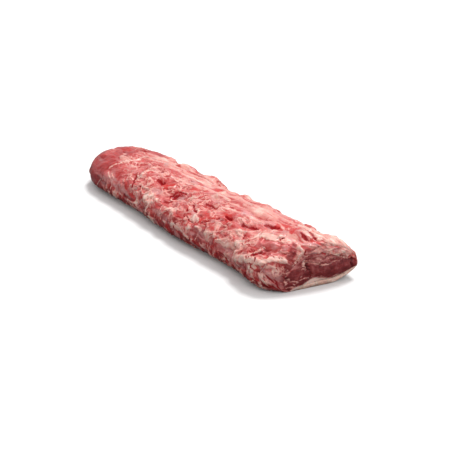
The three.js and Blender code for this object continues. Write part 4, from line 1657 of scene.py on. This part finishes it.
        height = weighted_sum(tree, ((fibre, 1.0), (grain, 0.45), (fat_share, 0.6), (mottle, 0.8)))
        bump = add_node(
            tree, "ShaderNodeBump", {"Height": height, "Strength": 0.7, "Distance": self.fibre_height * 2},
        )
        roughness = weighted_sum(tree, ((mottle, 0.3), (fat_share, 0.08), (blood_and_shade_share, -0.12), (1.0, 0.26)))
        shader = add_node(tree, "ShaderNodeBsdfPrincipled", {
            "Base Color": colour,
            "Roughness": roughness,
            "IOR": 1.38,
            "Specular IOR Level": weighted_sum(tree, ((clear_of_blood_and_shade, 0.3), (1.0, 0.05))),
            "Subsurface Weight": 0.35,
            "Subsurface Radius": (1.0, 0.25, 0.18),
            "Subsurface Scale": self.light_depth,
            "Coat Weight": coat,
            "Coat Roughness": 0.14,
            "Coat IOR": 1.34,
            "Normal": bump.outputs[0],
        })
        add_node(tree, "ShaderNodeOutputMaterial", {"Surface": shader.outputs[0]})
        return material


@dataclass(frozen=True)
class BeefFat:
    """Cold beef suet: a waxy, faintly pink cream, netted with shallow seams and a few red threads."""

    name: str = "beef fat"
    cream: str = "#fad2c1"
    pink: str = "#eaa998"
    seam: str = "#d68f80"
    net_size: float = 0.011
    mottle_size: float = 0.018
    light_depth: float = 0.003

    def build(self) -> bpy.types.Material:
        """Builds the material, which reads object coordinates."""
        material, tree = new_material(self.name)
        body = add_node(tree, "ShaderNodeTexCoord").outputs["Object"]
        mottle = add_node(
            tree, "ShaderNodeTexNoise",
            {"Vector": body, "Scale": 1 / self.mottle_size, "Detail": 5.0, "Roughness": 0.6, "Distortion": 0.5},
        )
        pull = add_node(
            tree, "ShaderNodeVectorMath", {0: mottle.outputs[1], 1: (0.008, 0.008, 0.008), 2: body},
            operation="MULTIPLY_ADD",
        )
        net = add_node(
            tree, "ShaderNodeTexVoronoi", {"Vector": pull.outputs[0], "Scale": 1 / self.net_size},
            feature="DISTANCE_TO_EDGE",
        )
        seam = remap(tree, net.outputs["Distance"], 0.0, 0.12, (1.0, 0.0))
        colour = blend_colours(
            tree, remap(tree, mottle.outputs[0], 0.45, 0.75), linear(self.cream), linear(self.pink),
        )
        faint = add_node(tree, "ShaderNodeMath", {0: seam, 1: 0.3}, operation="MULTIPLY")
        colour = blend_colours(tree, faint.outputs[0], colour, linear(self.seam))
        height = weighted_sum(tree, ((mottle.outputs[0], 1.0), (seam, -0.5)))
        bump = add_node(tree, "ShaderNodeBump", {"Height": height, "Strength": 0.5, "Distance": 0.0015})
        shader = add_node(tree, "ShaderNodeBsdfPrincipled", {
            "Base Color": colour,
            "Roughness": 0.42,
            "IOR": 1.45,
            "Subsurface Weight": 0.25,
            "Subsurface Radius": (1.0, 0.55, 0.4),
            "Subsurface Scale": self.light_depth,
            "Coat Weight": 0.2,
            "Coat Roughness": 0.3,
            "Normal": bump.outputs[0],
        })
        add_node(tree, "ShaderNodeOutputMaterial", {"Surface": shader.outputs[0]})
        return material


@dataclass
class Lean:
    """The boned-out muscle: one closed skin of rings, and rings that close the cut face."""

    loft: Loft = field(default_factory=Loft)
    carving: Carving = field(default_factory=Carving)
    cut_face: CutFace = field(default_factory=CutFace)
    tip_rings: int = 84
    body_rings: int = 390
    rim_rings: int = 44
    shown_points: int = 122
    far_points: int = 31
    under_points: int = 19
    face_rings: int = 42
    corner: Mark = Mark(288, 50, 26, 18, 1)
    corner_pull: Tuple[float, float, float] = (0.0, 2.5, -1.5)

    def build(self) -> bpy.types.Object:
        """Builds the carved skin before its finest relief.

        Returns:
            The object, with its tissue fields as attributes.
        """
        loft = self.loft
        x = loft.ring_places(self.tip_rings, self.body_rings, self.rim_rings)
        shown_from = 0.2
        shares = np.concatenate([
            np.linspace(0, shown_from, self.far_points, endpoint=False),
            np.linspace(shown_from, 1, self.shown_points),
        ])
        angles, rounds = loft.skin_angles(x, shares)
        smooth = loft.points(x, angles)
        normals = outward(smooth)
        rows = np.ones_like(angles)
        from_edge = np.minimum(angles - angles[:, :1], angles[:, -1:] - angles)
        run, from_rim = self.run_over_skin(x, smooth)
        at = Place(
            along=smooth[..., 0],
            round=rounds,
            run=run,
            from_tip=(x[:, None] + loft.length / 2) * rows,
            from_cut=(loft.length / 2 - x[:, None]) * rows,
            from_rim=from_rim,
            from_cap=from_edge,
        )
        fields = self.carving.sample(at)
        skin_points = smooth + normals * fields["rise"][..., None]
        pulled = self.corner.share(run, rounds)[..., None]
        skin_points = skin_points + pulled * np.array(self.corner_pull)
        skin_points[..., 2] = np.maximum(skin_points[..., 2], np.minimum(smooth[..., 2], 0.5))
        sinew, way = self.sinew_fields(at, smooth)
        fields.update(sinew=sinew, run=way, flow=flow_of(run, rounds))

        under_shares = np.linspace(0, 1, self.under_points)
        _, _, under = loft.cap_curves(x, under_shares)
        mesh = SkinMesh((*FIELDS, "sinew"), ("flow", "run"))
        skin = mesh.add(skin_points[:, 1:-1], {name: values[:, 1:-1] for name, values in fields.items()})
        under_flow = flow_of(under[..., 0], -120 - under[..., 1])
        below = mesh.add(under, {"tone": 0.4, "fat": 0.2, "flow": under_flow})
        rings = np.concatenate([skin, below], axis=1)
        mesh.join_closed(rings)
        tip = np.array([[-loft.length / 2, 0.0, loft.tip_height]])
        tip_point = mesh.add(tip, {"tone": 0.3, "fat": 0.1, "flow": flow_of(tip[:, 0], tip[:, 1])})
        mesh.fan(rings[0], int(tip_point[0]), True)
        rim = np.concatenate([skin_points[-1, 1:-1], under[-1]])
        self.close_face(mesh, rim, rings[-1])
        return mesh.build("lean_skin", loft)

    def run_over_skin(self, x: Array, smooth: Array) -> Tuple[Array, Array]:
        """Distance along the joint over the skin.

        Args:
            x: places of the rings.
            smooth: the skin's points before carving.

        Returns:
            The run of each point, equal to X in the body, and its distance from the rim of the cut.
        """
        steps = np.linalg.norm(np.diff(smooth, axis=0, prepend=smooth[:1]), axis=-1)
        travelled = np.cumsum(steps, axis=0)
        tip_end = int(np.searchsorted(x, -self.loft.length / 2 + self.loft.tip_length))
        rim_start = int(np.searchsorted(x, self.loft.length / 2 - self.loft.cut_round))
        run = np.repeat(x[:, None], smooth.shape[1], axis=1)
        run[:tip_end] = x[tip_end] + travelled[:tip_end] - travelled[tip_end]
        run[rim_start:] = x[rim_start] + travelled[rim_start:] - travelled[rim_start]
        return run, travelled[-1] - travelled

    def sinew_fields(self, at: Place, smooth: Array) -> Tuple[Array, Array]:
        """Where loose threads lie, and which way they run.

        Args:
            at: the skin's places.
            smooth: the skin's points before carving.

        Returns:
            A density from 0 to 1, and a unit direction.
        """
        zone = self.carving.zones(at)
        lengthways = np.gradient(smooth, axis=0)
        sideways = -np.gradient(smooth, axis=1)
        lengthways /= np.maximum(np.linalg.norm(lengthways, axis=-1, keepdims=True), 1e-9)
        sideways /= np.maximum(np.linalg.norm(sideways, axis=-1, keepdims=True), 1e-9)
        turn = np.radians(13 + 50 * zone["low"] + 14 * zone["front"])[..., None]
        run = lengthways * np.cos(turn) + sideways * np.sin(turn)
        density = 0.75 * zone["front"] + 0.55 * zone["low"] + 0.35 * zone["back"] + 0.2 * zone["tip"]
        density = density * smoothstep(at.from_tip, 4, 20) * smoothstep(at.from_rim, 10, 24)
        density = density * smoothstep(smooth[..., 2], 4, 12)
        return density * smoothstep(at.from_cap, 0.05, 0.2), run

    def close_face(self, mesh: SkinMesh, rim: Array, rim_numbers: Array) -> None:
        """Closes the cut with smaller and smaller copies of its rim.

        Args:
            mesh: the mesh that grows.
            rim: the rim's points.
            rim_numbers: their numbers in the mesh.
        """
        face = self.cut_face
        middle = np.array(face.centre)
        shares = np.linspace(0, 1, self.face_rings + 1)[1:-1, None, None]
        flat = rim[None, :, 1:] + (middle - rim[None, :, 1:]) * shares
        y, z = flat[..., 0], flat[..., 1]
        fields = face.sample(y, z, shares[..., 0] * np.ones_like(y), self.carving.noise)
        fields["flow"] = flow_of(280 + 0 * y, y)
        grid = mesh.add(face.place(y, z, fields["rise"]), fields)
        mesh.join_closed(np.concatenate([rim_numbers[None, :], grid]))
        tip = face.place(middle[:1], middle[1:], np.zeros(1))
        number = mesh.add(tip, {"cut": 1.0, "tone": 0.5, "fat": 0.1, "flow": flow_of(280.0, middle[:1])})
        mesh.fan(grid[-1], int(number[0]), False)


@dataclass
class FatCap:
    """The layer of fat under the loin, which curls up its far side and shows under the cut."""

    loft: Loft = field(default_factory=Loft)
    tip_rings: int = 40
    body_rings: int = 130
    rim_rings: int = 18
    points_across: int = 54
    dimple_size: float = 15.0
    dimple_depth: float = 0.9
    seed: int = 44

    def build(self) -> bpy.types.Object:
        """Builds the sheet, its outside dimpled where it doesn't rest.

        Returns:
            The object.
        """
        loft = self.loft
        x = loft.ring_places(self.tip_rings, self.body_rings, self.rim_rings)
        shares = np.linspace(0, 1, self.points_across)
        outside, inside, _ = loft.cap_curves(x, shares)
        noise = Noise(self.seed)
        travelled = np.cumsum(np.linalg.norm(np.diff(outside, axis=1, prepend=outside[:, :1]), axis=-1), axis=1)
        near, second, _ = noise.cells(outside[..., 0] / self.dimple_size, travelled / self.dimple_size * 1.3)
        net = np.exp(-((second - near) / 0.14) ** 2)
        soft = noise.layered(outside[..., 0] / 30, travelled / 22, 3)
        dent = self.dimple_depth * (0.8 * net + 0.9 * soft + 0.2)
        fade = smoothstep(outside[..., 2], 2.5, 9) * smoothstep(shares, 0, 0.05) * smoothstep(shares, 1, 0.95)
        fade = fade * smoothstep(x[:, None] + loft.length / 2, 2, 24)
        inward = inside - outside
        thickness = np.maximum(np.linalg.norm(inward, axis=-1, keepdims=True), 1e-6)
        dent = np.clip((dent * fade)[..., None], -1.2, 0.7 * thickness)
        outside = outside + inward / thickness * dent
        mesh = SkinMesh(("cut",), ("flow",))
        front = mesh.add(outside, {"flow": flow_of(outside[..., 0], travelled)})
        back = mesh.add(inside[:, 1:-1][:, ::-1], {"flow": flow_of(inside[:, 1:-1, 0], -travelled[:, 1:-1])})
        rings = np.concatenate([front, back], axis=1)
        mesh.join_closed(rings)
        self.close_end(mesh, rings[0], True)
        self.close_end(mesh, rings[-1], False)
        return mesh.build("fat_cap_skin", loft)

    def close_end(self, mesh: SkinMesh, ring: Array, is_first: bool) -> None:
        """Closes a thin ring whose second half runs back beside its first half.

        Args:
            mesh: the mesh that grows.
            ring: numbers of the ring's points.
            is_first: whether the ring is the one at the tip.
        """
        out = ring[:self.points_across]
        back = ring[(len(ring) - np.arange(self.points_across)) % len(ring)]
        corners = [out[1:-2], out[2:-1], back[2:-1], back[1:-2]]
        ends = np.array([[out[0], out[1], back[1]], [out[-2], out[-1], back[-2]]])
        if is_first:
            corners.reverse()
            ends = ends[:, ::-1]
        mesh.quads(*corners)
        mesh.faces.append(ends)


@dataclass(frozen=True)
class SoftLight:
    """A very large, far panel: the way it shines, its strength and how wide it looks, in degrees."""

    way: Tuple[float, float, float]
    strength: float
    spread: float
    colour: str = "#ffffff"

    def build(self, name: str) -> None:
        """Adds the light to the scene."""
        lamp = bpy.data.lights.new(name, "SUN")
        lamp.energy = self.strength
        lamp.angle = math.radians(self.spread)
        lamp.color = linear(self.colour)[:3]
        item = bpy.data.objects.new(name, lamp)
        item.rotation_euler = Vector(self.way).to_track_quat("-Z", "Y").to_euler()
        bpy.context.collection.objects.link(item)


@dataclass
class Studio:
    """A plain pale floor, soft light from above and behind, and the camera."""

    camera_place: Tuple[float, float, float] = (1.1371, -0.6546, 0.4800)
    camera_way: Tuple[float, float] = (-0.8502, 0.5265)
    camera_tilt: float = 20.39
    lens: float = 76.46
    sensor: float = 36.0
    floor_reach: float = 16.0
    floor_drop: float = 0.0003
    floor_colour: str = "#f4f4f4"
    floor_bounce: str = "#6e6e6e"
    sky_strength: float = 0.72
    lights: Tuple[SoftLight, ...] = (
        SoftLight((0.25, -0.45, -1.0), 2.1, 20.0),
        SoftLight((-0.9, 0.15, -0.7), 0.5, 50.0),
    )

    def build(self) -> None:
        """Sets the whole stage."""
        self.add_floor()
        for number, light in enumerate(self.lights):
            light.build(f"soft_light_{number}")
        world = bpy.data.worlds.new("studio air")
        bpy.context.scene.world = world
        world.use_nodes = True
        air = world.node_tree.nodes["Background"]
        air.inputs["Color"].default_value = (1.0, 1.0, 1.0, 1.0)
        air.inputs["Strength"].default_value = self.sky_strength
        self.add_camera()
        bpy.context.scene.view_settings.view_transform = "Standard"

    def add_floor(self) -> None:
        """Lays a wide matt floor just under the joint."""
        reach, drop = self.floor_reach, -self.floor_drop
        mesh = bpy.data.meshes.new("floor")
        corners = [(-reach, -reach, drop), (reach, -reach, drop), (reach, reach, drop), (-reach, reach, drop)]
        mesh.from_pydata(corners, [], [(0, 1, 2, 3)])
        floor = bpy.data.objects.new("floor", mesh)
        bpy.context.collection.objects.link(floor)
        # The joint itself sees a darker floor, so that its sides keep their shade
        material, tree = new_material("matt pale floor")
        seen = add_node(tree, "ShaderNodeLightPath").outputs["Is Camera Ray"]
        colour = blend_colours(tree, seen, linear(self.floor_bounce), linear(self.floor_colour))
        shader = add_node(tree, "ShaderNodeBsdfDiffuse", {"Color": colour})
        add_node(tree, "ShaderNodeOutputMaterial", {"Surface": shader.outputs[0]})
        mesh.materials.append(material)

    def add_camera(self) -> None:
        """Stands the camera where it sees the joint from its cut end and near side."""
        data = bpy.data.cameras.new("camera")
        data.lens = self.lens
        data.sensor_width = self.sensor
        data.clip_end = 60.0
        camera = bpy.data.objects.new("camera", data)
        camera.location = self.camera_place
        tilt = math.radians(self.camera_tilt)
        ahead = Vector((*(part * math.cos(tilt) for part in self.camera_way), -math.sin(tilt)))
        camera.rotation_euler = ahead.to_track_quat("-Z", "Y").to_euler()
        bpy.context.collection.objects.link(camera)
        bpy.context.scene.camera = camera


@dataclass
class BeefJoint:
    """The whole joint: the lean, the fat cap and the sinews on the lean."""

    lean: Lean = field(default_factory=Lean)
    fat_cap: FatCap = field(default_factory=FatCap)
    sinews: Sinews = Sinews()
    lean_relief: FibreRelief = FibreRelief()
    fat_relief: FibreRelief = FibreRelief(0.02, 0.012, 20.0, 0.0004, 0.006, 0.0002, 9)
    beef: FreshBeef = FreshBeef()
    fat: BeefFat = BeefFat()
    thread_fat: BeefFat = BeefFat("sinew fat", "#f0aca2", "#e48f86", "#d27a74", 0.004, 0.006, 0.0015)

    def build(self) -> None:
        """Builds, dresses and declares every piece."""
        lean = self.lean_relief.apply(self.lean.build(), "striploin_lean", self.beef.build())
        self.declare(lean, "lean", "lean")
        threads = self.sinews.build(lean.data, self.thread_fat.build())
        self.declare(threads, "fat", None)
        cap = self.fat_relief.apply(self.fat_cap.build(), "striploin_fat_cap", self.fat.build())
        self.declare(cap, "fat", "fat_cap")

    @staticmethod
    def declare(piece: bpy.types.Object, slot: str, node: Optional[str]) -> None:
        """Attaches a piece to the root, hides the solid it stands for, and logs its size.

        Args:
            piece: the finished piece.
            slot: the record's material slot; not used.
            node: the solid that it stands for, if any.
        """
        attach(piece, "root")
        if node:
            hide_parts(node)
        low, high = Vector(piece.bound_box[0]), Vector(piece.bound_box[6])
        LOG.info(
            "%s: %d faces, %s to %s mm", piece.name, len(piece.data.polygons),
            [round(v / MM, 1) for v in low], [round(v / MM, 1) for v in high],
        )


def main() -> None:
    """Builds the scene and logs the size of each piece."""
    logging.basicConfig(level=logging.INFO, format="%(name)s %(message)s")
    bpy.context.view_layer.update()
    Studio().build()
    BeefJoint().build()
    bpy.context.view_layer.update()


if __name__ == "__main__":
    main()
